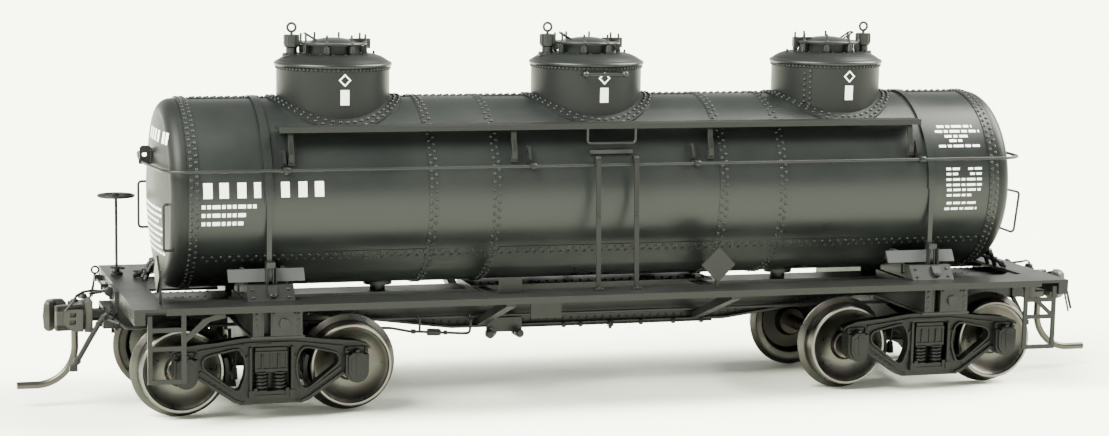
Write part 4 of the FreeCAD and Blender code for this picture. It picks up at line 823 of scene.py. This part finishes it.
def frame_rivets():
    """Rivets on the centre sill, its raised plate, the bolster ends, the saddles and the end sills."""
    rivets = Shape()
    near, up = (0, -1, 0), (0, 0, 1)
    for x in range(-44, 45):
        if abs(abs(x) - KINGPIN) < 3.2:
            continue
        rivets.rivet((x, SILL_FACE, sill_bottom(x) + 0.62), near, *SMALL_RIVET, sides=6)
        rivets.rivet((x + 0.5, SILL_FACE, 11.9), near, *SMALL_RIVET, sides=6)
        if abs(x) < TAPER_END - 0.5:
            rivets.rivet((x, -2.85, sill_bottom(x) + 0.25), up, *SMALL_RIVET, sides=6)
    for index in range(29):
        x = -14.4 + index * 28.8 / 28
        for y in (-4.1, -2.6):
            rivets.rivet((x, y, 13.3), up, *SMALL_RIVET, sides=6)
    for sign in (-1, 1):
        for index in range(12):
            rivets.rivet((sign * (45.0 + index * 0.85), -1.85, 12.55), up, *SMALL_RIVET, sides=6)
        centre = sign * KINGPIN
        for x in (-2.35, 2.3):
            for z in (10.75, 11.4, 12.05, 12.7):
                rivets.rivet((centre + x, BOLSTER_FACE, z), near, 0.19, 0.14)
        for x in (-0.45, 1.9):
            rivets.rivet((centre + x, BOLSTER_FACE, 12.75), near, *SMALL_RIVET)
        saddle = centre - (SADDLE_SHIFT_A if sign > 0 else SADDLE_SHIFT_B)
        for x in (-2.0, 2.0):
            for height in (14.15, 14.95):
                rivets.rivet((saddle + x, saddle_face(height), height), SADDLE_OUT, 0.2, 0.14)
        rivets.prism((centre, saddle_face(14.35), 14.35), SADDLE_OUT, 0.42, 0.3, 6)
        for y in (-15.2, -14.2, -12.6, -8.5, -6.0, -3.4):
            rivets.rivet((sign * 55.85, y, 12.75), (sign, 0, 0), 0.18, 0.13)
    rivets.both_sides().piece("frame_rivets", "wagon", FRAME, "frame_black", smooth=60.0)


def frame_irons():
    """Angles, flanges and gussets of the underframe."""
    iron = Shape()
    for sign in (-1, 1):
        centre = sign * KINGPIN
        # flanged edges and the vertical ribs of the bolster's end
        iron.block((centre - 2.78, -16.02, 12.95), (centre + 2.78, -15.8, 13.35))
        iron.block((centre - 3.0, -16.05, 10.05), (centre + 3.0, -15.75, 10.28))
        iron.block((centre - 1.75, -16.05, 10.4), (centre - 1.58, -15.9, 13.0))
        iron.block((centre - 0.78, -16.05, 10.4), (centre - 0.6, -15.9, 13.0))
        iron.turned([(0.0, -16.30), (0.45, -16.28), (0.58, -16.15), (0.62, -15.9), (0.0, -15.9)],
                    (centre + BOLSTER_BOSS, 0, 11.65), axis="y", sides=24)
        # gussets in the corners of the deck
        gusset = [(sign * DECK_END, -11.35), (sign * DECK_END, -8.2), (sign * (DECK_END - 3.0), -11.35)]
        iron.plate(gusset, 13.42, 13.56, plane="xy")
        # lower angle of the centre sill beyond its belly plate
        for x0, x1 in ((35.0, 37.2), (43.1, 47.6)):
            start, end = sorted((sign * x0, sign * x1))
            iron.block((start, -2.75, SILL_SHALLOW), (end, SILL_FACE, 10.42))
        # bracket under the saddle board and its clamp
        iron.block((centre - 3.6, -11.0, 14.3), (centre - 3.35, -10.75, 15.7))
        iron.block((centre - 3.6, -11.0, 14.2), (centre - 2.6, -10.7, 14.42))
        iron.block((centre - 0.62, -12.35, 15.4), (centre - 0.5, -11.4, 17.3))
        iron.block((centre + 0.5, -12.35, 15.4), (centre + 0.62, -11.4, 17.3))
    # stiffening angle inside the lip of a side sill, and the cover's edge angle
    iron.block((-DECK_END, -16.0, 12.98), (DECK_END, -15.55, 13.1))
    iron.block((-47.0, -2.75, 11.95), (47.0, SILL_FACE, 12.07))
    iron.block((-47.0, -2.32, 11.5), (47.0, SILL_FACE, 12.0))
    iron.both_sides().piece("frame_irons", "wagon", FRAME, "frame_black", bevel=0.04)


def end_fittings():
    """Levers, hose and coupler carrier, drawn for the end away from the handbrake and turned round."""
    wire = Shape()
    fit = Shape()
    fit.turned([(0.0, 0.0), (0.26, 0.0), (0.24, 0.1), (0.0, 0.12)], (56.5, -12.5, 13.1))
    wire.tube(bend([(56.5, -14.3, 13.2), (56.7, -14.0, 11.9), (57.35, -14.0, 9.5)], 0.4), 0.13, 8)
    wire.tube(bend([(56.9, 0.4, 13.25), (58.5, 0.2, 13.4), (59.6, 1.0, 13.4), (60.5, 2.0, 13.1),
                    (60.8, 2.05, 12.5), (61.7, 2.1, 11.5)], 0.5), 0.15, 8)
    fit.turned([(0.0, -0.3), (0.4, -0.28), (0.55, -0.1), (0.55, 0.1), (0.4, 0.28), (0.0, 0.3)],
               (56.6, 0.4, 13.25), axis="y", sides=18)
    fit.block((56.0, 0.15, 12.4), (56.6, 0.65, 13.0))
    # bracket of the air hose, its cock, the hose itself and the collars along it
    wire.tube(bend([(56.0, 2.9, 11.0), (56.8, 4.2, 10.6), (57.3, 5.4, 10.9), (56.2, 6.6, 10.6)], 0.4),
              0.13, 8)
    fit.turned([(0.0, 0.0), (0.38, 0.0), (0.38, 0.5), (0.26, 0.6), (0.0, 0.6)], (56.9, 3.4, 11.5), sides=12)
    fit.block((56.7, 3.2, 11.75), (57.0, 4.1, 11.92))
    fit.tube(bend([(57.05, 3.4, 11.3), (57.75, 3.4, 10.75), (59.2, 3.3, 8.3), (60.9, 3.2, 5.3)], 1.4),
             0.31, 12)
    fit.prism((57.5, 3.37, 11.0), (0.6, 0, -1), 0.46, 0.5, 6)
    fit.prism((58.05, 3.35, 10.2), (0.6, 0, -1), 0.4, 0.35, 10)
    fit.prism((60.45, 3.22, 6.1), (0.6, 0, -1), 0.42, 0.5, 10)
    fit.turned([(0.0, -0.32), (0.36, -0.28), (0.44, 0.0), (0.36, 0.28), (0.0, 0.32)], (61.0, 3.2, 5.1),
               axis="y", sides=16)
    # coupler carrier and striker ribs
    fit.block((55.9, -2.9, 9.2), (56.3, 2.9, 9.45))
    for y in (-2.6, 2.4):
        fit.block((55.9, y, 9.3), (56.2, y + 0.25, 12.6))
        for z in (10.2, 11.2, 12.2):
            fit.rivet((56.2, y + 0.12, z), (1, 0, 0), 0.14, 0.1)
    for y in (-1.8, 0.0, 1.8):
        fit.rivet((56.25, y, 13.0), (1, 0, 0), 0.2, 0.14)
    wire = wire.turned_round()
    eye = [(-56.5 + 0.42 * math.sin(turn), 14.05, 13.55 + 0.42 * math.cos(turn)) for turn in turns(20)]
    wire.tube(eye, 0.13, 8, loop=True)
    wire.piece("end_wires", "wagon", WIRE, "wire_black", smooth=60.0)
    # plates between the centre sill and the side sills
    for side in (-1, 1):
        low, high = sorted((side * 3.2, side * 12.6))
        fit.block((43.5, low, 12.5), (54.5, high, 12.8))
    fit.turned_round().piece("end_fittings", "wagon", FRAME, "frame_black", bevel=0.03)


# the coupler's swing post and the knuckle's pin at the end away from the handbrake
COUPLER_Z = 10.6
SWING_X = 52.6
PIN_X, PIN_Y = 60.4, -0.9
TRIP_BEND = 4.4


def couplers():
    """Cast coupler heads with their knuckles and trip pins, drawn at the end away from the handbrake."""
    head = Shape()
    head.block((SWING_X, -0.34, 9.97), (58.9, 0.34, 11.23))
    for z in (9.97, 11.03):
        head.block((53.2, -0.74, z), (58.9, 0.74, z + 0.2))
    for x in (54.6, 56.0, 57.3):
        head.block((x, -0.7, 9.97), (x + 0.16, 0.7, 11.23))
    head.turned([(0.66, 9.96), (1.34, 9.96), (1.34, 11.24), (0.66, 11.24)], (SWING_X, 0, 0), loop=True)
    plan = [(58.6, -1.6), (59.2, -1.9), (59.5, -1.9), (59.5, 1.6), (59.2, 1.75), (58.6, 1.75)]
    head.plate(plan, 8.85, 12.45, plane="xy")
    guard = [(61.9, 1.05), (62.9, 1.6), (62.7, 2.1), (61.2, 1.9), (59.4, 1.5)]
    wings = [(59.4, -1.9), (60.6, -1.9), (61.15, -1.3), (61.2, -0.55), (60.6, 0.1), (60.9, 0.75), *guard]
    head.plate(wings, 11.35, 12.05, plane="xy")
    head.plate(wings, 9.15, 9.85, plane="xy")
    head.plate([(59.4, 0.4), (60.7, 0.4), *guard], 9.2, 12.0, plane="xy")
    windows = [[(60.5, 10.72), (61.15, 10.72), (61.15, 11.18), (60.5, 11.18)],
               [(60.55, 9.88), (61.2, 9.88), (61.2, 10.34), (60.55, 10.34)]]
    cheek = [(59.7, 11.6), (61.85, 11.6), (62.0, 10.05), (61.5, 9.5), (60.7, 9.0), (59.7, 9.0)]
    head.plate(cheek, 1.85, 2.12, windows)
    head.turned([(0.0, 12.6), (0.5, 12.6), (0.55, 12.75), (0.45, 13.05), (0.2, 13.15), (0.0, 13.16)],
                (59.6, 0.3, 0))
    head.turned([(0.0, 12.0), (0.42, 12.0), (0.45, 12.2), (0.3, 12.32), (0.0, 12.34)], (PIN_X, PIN_Y, 0),
                sides=20)

    knuckle = Shape()
    nose = [(61.55, -1.95), (62.6, -2.15), (63.75, -1.4), (64.0, 0.2), (63.4, 0.75), (62.75, 0.35),
            (62.55, -0.6), (61.28, -0.75)]
    rings = []
    for amount, rise in ((-0.3, -1.72), (-0.02, -1.35), (0.1, 0.0), (-0.02, 1.35), (-0.3, 1.72)):
        rings.append([Vector((x, y, COUPLER_Z + rise)) for x, y in grown(nose, amount)])
    knuckle.strip(rings)
    knuckle.plate([(59.78, -0.4), (59.78, -1.4), (61.5, -1.6), (61.5, -0.6), (60.7, -0.2)], COUPLER_Z - 0.68,
                  COUPLER_Z + 0.68, plane="xy")
    trip = Shape()
    path = [(PIN_X, PIN_Y, 9.9)]
    for step in range(17):
        turn = math.radians(90.0 * step / 16)
        path.append((PIN_X + TRIP_BEND * (1 - math.cos(turn)), PIN_Y, 6.9 - TRIP_BEND * math.sin(turn)))
    path.append((67.0, PIN_Y, 6.9 - TRIP_BEND))
    trip.tube(path, 0.42, 14)
    slot = "coupler_bronze"
    for letter, turn in (("a", Matrix()), ("b", HALF_TURN)):
        coupler, jaw = "coupler_" + letter, "knuckle_" + letter
        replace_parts(head.copy(turn).piece("cast_" + coupler, coupler, BRONZE, slot, bevel=0.06), coupler)
        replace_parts(knuckle.copy(turn).piece("cast_" + jaw, jaw, BRONZE, slot, bevel=0.05), jaw)
        trip.copy(turn).piece("trip_wire_" + letter, jaw, PIN, slot, smooth=60.0)


def draft_carriers():
    """Ribbed castings under the centre sill that carry the draft gear."""
    cast = Shape()
    cast.block((43.3, -1.7, 8.9), (47.6, 1.7, 10.28))
    for x in (43.3, 44.6, 45.9, 47.2):
        cast.block((x, -2.15, 8.7), (x + 0.4, 2.15, 10.28))
    for x in (44.2, 45.5, 46.8):
        for y in (-1.95, 1.95):
            cast.prism((x, y, 10.0), (0, 0, -1), 0.2, 0.25, 6)
    cast.turned_round().piece("draft_carriers", "wagon", FRAME, "frame_black", bevel=0.05)


def under_pipes():
    """Pipe run, clamps and the brake unit's lugs below the near side of the centre sill."""
    pipe = Shape()
    # the run passes inside the wheels of a truck that is turned
    pipe.tube(bend([(-27.5, -3.3, 8.55), (-24.3, -3.3, 8.4), (-22.5, -5.0, 8.25), (-16.2, -5.0, 7.8),
                    (-15.3, -5.0, 7.8), (-15.1, -5.0, 9.4), (-15.1, -3.6, 9.6)], 0.35), 0.16, 8)
    pipe.prism((-22.3, -5.0, 8.23), (1, 0, -0.05), 0.3, 0.5, 6)
    pipe.prism((-20.4, -5.0, 8.1), (1, 0, -0.05), 0.42, 1.6, 8)
    pipe.prism((-18.4, -5.0, 7.98), (1, 0, -0.05), 0.28, 0.4, 6)
    for x in (-21.2, -15.1):
        pipe.tube([(x, -4.6, 8.2), (x, -4.6, 9.8)], 0.15, 8)
        pipe.rivet((x, -4.6, 9.7), (0, 0, 1), 0.3, 0.25)
    pipe.tube([(-9.0, -3.2, 8.05), (15.5, -3.2, 8.05)], 0.14, 8)
    for x in (-3.2, -1.1, 6.5, 10.6, 14.2):
        pipe.prism((x - 0.2, -3.2, 8.05), (1, 0, 0), 0.32, 0.4, 8)
    pipe.prism((2.35, -3.2, 8.0), (1, 0, 0), 0.4, 0.6, 8)
    pipe.prism((2.62, -3.2, 7.9), (0, 0, -1), 0.22, 0.5, 8)
    lobe = [(0.0, -5.7), (0.4, -5.65), (0.5, -5.45), (0.5, -4.7), (0.0, -4.7)]
    for x in (-12.87, -9.27):
        pipe.turned(lobe, (x, 0, 7.6), axis="y", sides=18)
    pipe.piece("under_pipes", "wagon", FRAME, "frame_black", smooth=45.0)


def handbrake_details():
    """Ratchet teeth and bolts at the foot of the staff, and the cap on the wheel's hub."""
    foot = mm_box("handbrake_staff")[0].z
    wheel_low, wheel_high = mm_box("handbrake_wheel")
    x, y = (wheel_low.x + wheel_high.x) / 2, (wheel_low.y + wheel_high.y) / 2
    brake = Shape()
    for turn in turns(14):
        brake.prism(spot(x, y, 0.62, turn, foot + 0.76), (0, 0, 1), 0.11, 0.22, 4)
    for turn in turns(4, 0.5):
        brake.prism(spot(x, y, 0.58, turn, foot + 0.3), (0, 0, 1), 0.12, 0.14, 6)
    brake.turned([(0.0, 22.75), (0.32, 22.75), (0.5, 22.95), (0.45, 23.3), (0.2, 23.45), (0.0, 23.47)],
                 (x, y, 0), sides=20)
    brake.piece("handbrake_details", "wagon", FRAME, "frame_black")


def heater_fittings():
    """Steam coil connections low on the tank's heads."""
    pipes = Shape()
    for y in (3.5, 5.4):
        pipes.tube(bend([(-49.2, y, 16.3), (-51.2, y, 15.6), (-52.0, y - 0.3, 13.9)], 0.8), 0.28, 10)
        pipes.prism((-50.7, y, 15.75), (-1, 0, -0.3), 0.5, 0.5, 8)
        pipes.prism((-51.75, y - 0.2, 14.9), (-0.4, 0, -1), 0.42, 0.4, 6)
    pipes.tube(bend([(-50.3, 4.4, 15.2), (-52.0, 5.4, 14.6), (-52.9, 6.2, 13.9)], 0.6), 0.24, 10)
    pipes.prism((-52.4, 5.75, 14.3), (-0.7, 0.7, -0.6), 0.4, 0.5, 6)
    pipes.turned_round().piece("heater_fittings", "wagon", FRAME, "frame_black", smooth=50.0)


def rail_bracket():
    """The eye plate that carries the rail across the handbrake end."""
    plate = Shape()
    hole = [(-52.45 + 0.27 * math.cos(turn), 28.85 + 0.27 * math.sin(turn)) for turn in turns(20)]
    outline = [(-51.75, 28.1), (-51.75, 29.7), (-52.0, 29.85), (-52.75, 29.85), (-53.0, 29.6),
               (-53.0, 28.35), (-52.75, 28.1)]
    plate.plate(outline, -0.45, -0.25, [hole])
    plate.block((-51.8, -1.1, 27.9), (-51.62, -0.2, 29.6))
    for z in (28.2, 29.3):
        plate.rivet((-51.8, -0.8, z), (-1, 0, 0), 0.17, 0.14)
    plate.piece("rail_bracket", "wagon", FRAME, "frame_black", bevel=0.03)


# ---- the trucks ----

def mirrored(half):
    """A run of (x, z) points followed by its mirror image in x, in reverse order."""
    return half + [(-x, z) for x, z in reversed(half)]


FRAME_TOP = mirrored([(-11.3, 8.05), (-11.0, 8.35), (-9.6, 8.8), (-7.6, 8.98), (-6.0, 9.1), (-4.6, 9.32),
                      (-3.2, 9.5), (-2.0, 9.55)])
FRAME_LOW = mirrored([(11.0, 7.5), (8.9, 7.1), (8.55, 6.4), (8.45, 5.1), (4.3, 2.25), (3.4, 1.92)])
WINDOW = [(3.3, 4.4), (3.55, 3.75), (3.95, 3.6), (4.35, 3.75), (7.35, 6.1), (7.62, 6.55), (7.62, 7.0),
          (7.35, 7.35), (6.8, 7.55), (4.3, 8.1), (3.75, 8.1), (3.35, 7.75), (3.05, 7.0), (2.95, 6.0),
          (3.05, 5.1)]
BAY = [(-2.2, 2.98), (2.2, 2.98), (2.2, 8.2), (1.95, 8.42), (-1.95, 8.42), (-2.2, 8.2)]
# how far the face of a sideframe's web and its flanges stand from the truck's middle
WEB_BACK, WEB_FACE, FLANGE_FACE = -10.9, -11.9, -12.35
SPRING_Y = -11.55
TREAD_R = 5.53
WHEEL_Y = 8.7
SHOE_R, SHOE_THICK = 4.98, 0.42


def grown(loop, amount):
    """A closed loop pushed outwards (or inwards for a negative amount) by an even distance."""
    area = sum(a[0] * b[1] - b[0] * a[1] for a, b in zip(loop, loop[1:] + loop[:1]))
    side = 1.0 if area > 0 else -1.0
    result = []
    for before, here, after in zip(loop[-1:] + loop[:-1], loop, loop[1:] + loop[:1]):
        into = Vector((here[0] - before[0], here[1] - before[1])).normalized()
        out = Vector((after[0] - here[0], after[1] - here[1])).normalized()
        normal = Vector((into.y + out.y, -into.x - out.x)).normalized() * side
        share = max(0.5, normal.dot(Vector((into.y, -into.x)) * side))
        result.append((here[0] + normal.x * amount / share, here[1] + normal.y * amount / share))
    return result


def sideframe():
    """One cast sideframe of the near side about its kingpin: web, flanges, journal boxes and lids."""
    cast = Shape()
    windows = [WINDOW, [(-x, z) for x, z in reversed(WINDOW)]]
    outline = FRAME_TOP + FRAME_LOW
    cast.plate(outline, -11.95, WEB_BACK, [*windows, BAY])
    for window in windows:
        cast.plate(grown(window, 0.22), -12.28, WEB_FACE, [window])
    # top flange, and the flanges of the two slanting lower arms
    top_edge = [(x, z - 0.28) for x, z in reversed(FRAME_TOP)]
    cast.plate(FRAME_TOP + top_edge, FLANGE_FACE, -11.0)
    rib = mirrored([(-8.2, 8.25), (-4.2, 8.75), (-2.6, 8.95)])
    rib += mirrored([(8.2, 8.1), (4.2, 8.58), (2.6, 8.78)])
    cast.plate(rib, -12.2, WEB_FACE)
    for sign in (-1, 1):
        arm = [(8.42, 5.1), (4.28, 2.27), (3.4, 1.94), (3.4, 2.3), (4.15, 2.6), (8.1, 5.3)]
        cast.plate([(sign * x, z) for x, z in arm], -12.3, WEB_FACE)
        inner = [(7.9, 5.95), (4.25, 3.35), (4.4, 3.12), (8.1, 5.72)]
        cast.plate([(sign * x, z) for x, z in inner], -12.15, WEB_FACE)
        # column guides with their wear plates, and the spring seat's lug
        guide = [(sign * 2.2, 3.0), (sign * 2.5, 3.0), (sign * 2.5, 8.4), (sign * 2.2, 8.4)]
        cast.plate(guide, FLANGE_FACE, -11.0)
        wear = [(sign * 2.5, 4.9), (sign * 2.95, 5.3), (sign * 2.95, 7.2), (sign * 2.5, 7.7)]
        cast.plate(wear, -12.1, WEB_FACE)
        cast.block((sign * 2.3 - 0.28, -12.5, 2.7), (sign * 2.3 + 0.28, WEB_FACE, 3.55))
        for height in (5.9, 7.3):
            cast.prism((sign * 2.75, -12.1, height), (0, -1, 0), 0.14, 0.16, 6)
        cast.prism((sign * 3.1, -12.3, 2.15), (0, -1, 0), 0.17, 0.12, 8)
        cast.rivet((sign * 5.6, -12.15, 4.45), (0, -1, 0), 0.2, 0.12)
        for step in range(4):
            x, z = sign * (5.0 + 0.62 * step), 3.25 + 0.42 * step
            cast.block((x - 0.14, -12.1, z - 0.12), (x + 0.14, WEB_FACE, z + 0.14))
        cast.merge(journal_box(sign * HALF_BASE))
    cast.block((-2.5, FLANGE_FACE, 2.6), (2.5, -11.0, 3.0))
    # A plate closing the bolster opening from behind the springs: a dark sheet standing in for the shade
    # behind them.
    cast.block((-2.3, -10.95, 2.7), (2.3, -10.7, 8.3))
    return cast


def journal_box(centre):
    """A journal box with its sprung lid, hinge and bolts."""
    cast = Shape()
    section = mirrored([(-1.32, 7.35), (-1.32, 5.3), (-1.15, 4.75), (-0.75, 4.32), (-0.25, 4.12)])
    cast.plate([(centre + x, z) for x, z in section], -13.0, -10.95)
    rim = mirrored([(-1.05, 7.15), (-1.05, 5.35), (-0.85, 4.85), (-0.5, 4.5)]) + [(0.7, 7.4), (-0.7, 7.4)]
    cast.plate([(centre + x, z) for x, z in rim], -13.28, -12.95)
    cast.plate([(centre + 0.72 * x, 0.72 * (z - 5.8) + 5.8) for x, z in rim], -13.33, -13.2)
    cast.plate([(centre - 0.16, 4.9), (centre + 0.16, 4.9), (centre + 0.2, 7.3), (centre - 0.2, 7.3)],
               -13.38, -13.2)
    cast.tube([(centre - 0.62, -13.05, 7.45), (centre + 0.62, -13.05, 7.45)], 0.24, 12)
    cast.block((centre - 0.2, -13.2, 7.35), (centre + 0.2, -12.3, 7.9))
    cast.plate([(centre - 1.32, 7.35), (centre + 1.32, 7.35), (centre + 1.0, 8.1), (centre - 1.0, 8.1)],
               -12.3, -10.95)
    for x in (-1.12, 1.12):
        cast.prism((centre + x, -12.4, 7.75), (0, 0, 1), 0.2, 0.32, 6)
        cast.block((centre + x - 0.2, -12.65, 7.45), (centre + x + 0.2, -12.2, 7.75))
        cast.tube([(centre + x, -12.4, 7.4), (centre + x, -12.4, 5.6)], 0.14, 8)
    cast.block((centre - 1.45, -12.1, 5.6), (centre + 1.45, -11.4, 7.0))
    return cast


def bolster_end():
    """The end of a truck bolster as it shows in the sideframe's opening."""
    cast = Shape()
    cast.block((-1.85, -12.15, 7.62), (1.85, -11.9, 7.9))
    cast.block((-1.85, -12.15, 5.6), (1.85, -11.9, 5.95))
    for x in (-1.85, -0.12, 1.6):
        cast.block((x, -12.12, 5.7), (x + 0.25, -11.9, 7.8))
    for x in (-1.0, 0.85):
        cast.tube([(x, -12.05, 5.95), (x, -12.05, 7.62)], 0.16, 8)
    return cast


def spring_nest():
    """Two coil springs between the plank and the bolster, with their seats."""
    coil = Shape()
    plank = Shape()

    def wind(x, radius, wraps, low, rise, wire, steps, sides):
        """One coil spring; a negative number of wraps winds it the other way."""
        path = []
        for step in range(steps + 1):
            share = step / steps
            turn = math.tau * wraps * share
            path.append((x + radius * math.cos(turn), SPRING_Y + radius * math.sin(turn), low + rise * share))
        coil.tube(path, wire, sides)

    for x in (-1.05, 1.05):
        wind(x, 0.62, 4.6, 3.55, 1.85, 0.185, 96, 8)
        wind(x, 0.3, -6, 3.5, 1.95, 0.1, 72, 6)
        for low, high in ((3.38, 3.5), (5.38, 5.52)):
            plank.turned([(0.0, low), (0.82, low), (0.82, high), (0.0, high)], (x, SPRING_Y, 0), sides=24)
    plank.block((-2.12, -12.25, 3.02), (2.12, -10.85, 3.4))
    plank.block((-2.0, -12.4, 3.02), (-1.6, -12.1, 3.75))
    plank.block((1.6, -12.4, 3.02), (2.0, -12.1, 3.75))
    coil.merge(plank)
    return coil


def brake_set():
    """Brake beams with shoes, hangers, levers and the rod that joins them."""
    gear = Shape()
    shoe = ((SHOE_R, -0.62), (SHOE_R, 0.62), (SHOE_R + SHOE_THICK, 0.62), (SHOE_R + SHOE_THICK, -0.62))
    for sign in (-1, 1):
        x = sign * (HALF_BASE - TREAD_R - 0.55)
        gear.tube([(x, -9.1, 4.6), (x, 9.1, 4.6)], 0.24, 10)
        gear.tube(bend([(x, -8.6, 4.6), (x - sign * 1.1, 0.0, 4.75), (x, 8.6, 4.6)], 1.2), 0.15, 8)
        gear.block((x - sign * 0.9 - 0.2, -0.3, 3.9), (x - sign * 0.9 + 0.2, 0.3, 8.4))
        gear.block((x - 0.5, -6.9, 3.0), (x + 0.5, 6.9, 5.4), taper=0.2)
        for middle in (-WHEEL_Y, WHEEL_Y):
            rings = []
            for step in range(9):
                turn = math.radians(-22 + 5.0 * step)
                rings.append([(sign * (HALF_BASE - radius * math.cos(turn)), middle + y,
                               AXLE_HEIGHT - 0.35 + radius * math.sin(turn)) for radius, y in shoe])
            gear.strip(rings)
            gear.block((x - 0.32, middle - 0.35, 4.2), (x + 0.32, middle + 0.35, 5.6), taper=0.08)
            gear.tube([(x, middle, 5.4), (x - sign * 0.3, middle + math.copysign(0.2, middle), 8.0)], 0.14, 8)
    gear.tube([(-2.6, 0.0, 4.15), (2.6, 0.0, 4.15)], 0.18, 8)
    return gear


def trucks():
    frames = sideframe().turned_round()
    ends = bolster_end().turned_round()
    nests = spring_nest().turned_round()
    gear = brake_set()
    for letter, centre in (("b", -KINGPIN), ("a", KINGPIN)):
        body = "truck_" + letter
        move = Matrix.Translation(Vector((centre, 0, 0)))
        casting = frames.copy(move).piece("cast_sideframes_" + letter, body, TRUCK, "truck_black", bevel=0.05)
        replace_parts(casting, "sideframes_" + letter)
        coils = nests.copy(move).piece("coil_springs_" + letter, body, TRUCK, "truck_black", smooth=60.0)
        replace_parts(coils, "truck_springs_" + letter)
        rigging = gear.copy(move).piece("brake_gear_" + letter, body, TRUCK, "truck_black", smooth=50.0)
        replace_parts(rigging, "brake_beams_" + letter)
        ends.copy(move).piece("bolster_ends_" + letter, body, TRUCK, "truck_black", bevel=0.03)


look()
studio()
dress_nodes()
tank_seams()
dome_details()
lid_details()
marks()
frame_rivets()
frame_irons()
end_fittings()
handbrake_details()
heater_fittings()
rail_bracket()
walkway_brackets()
rail_lugs()
ladder_rails()
under_pipes()
draft_carriers()
couplers()
trucks()
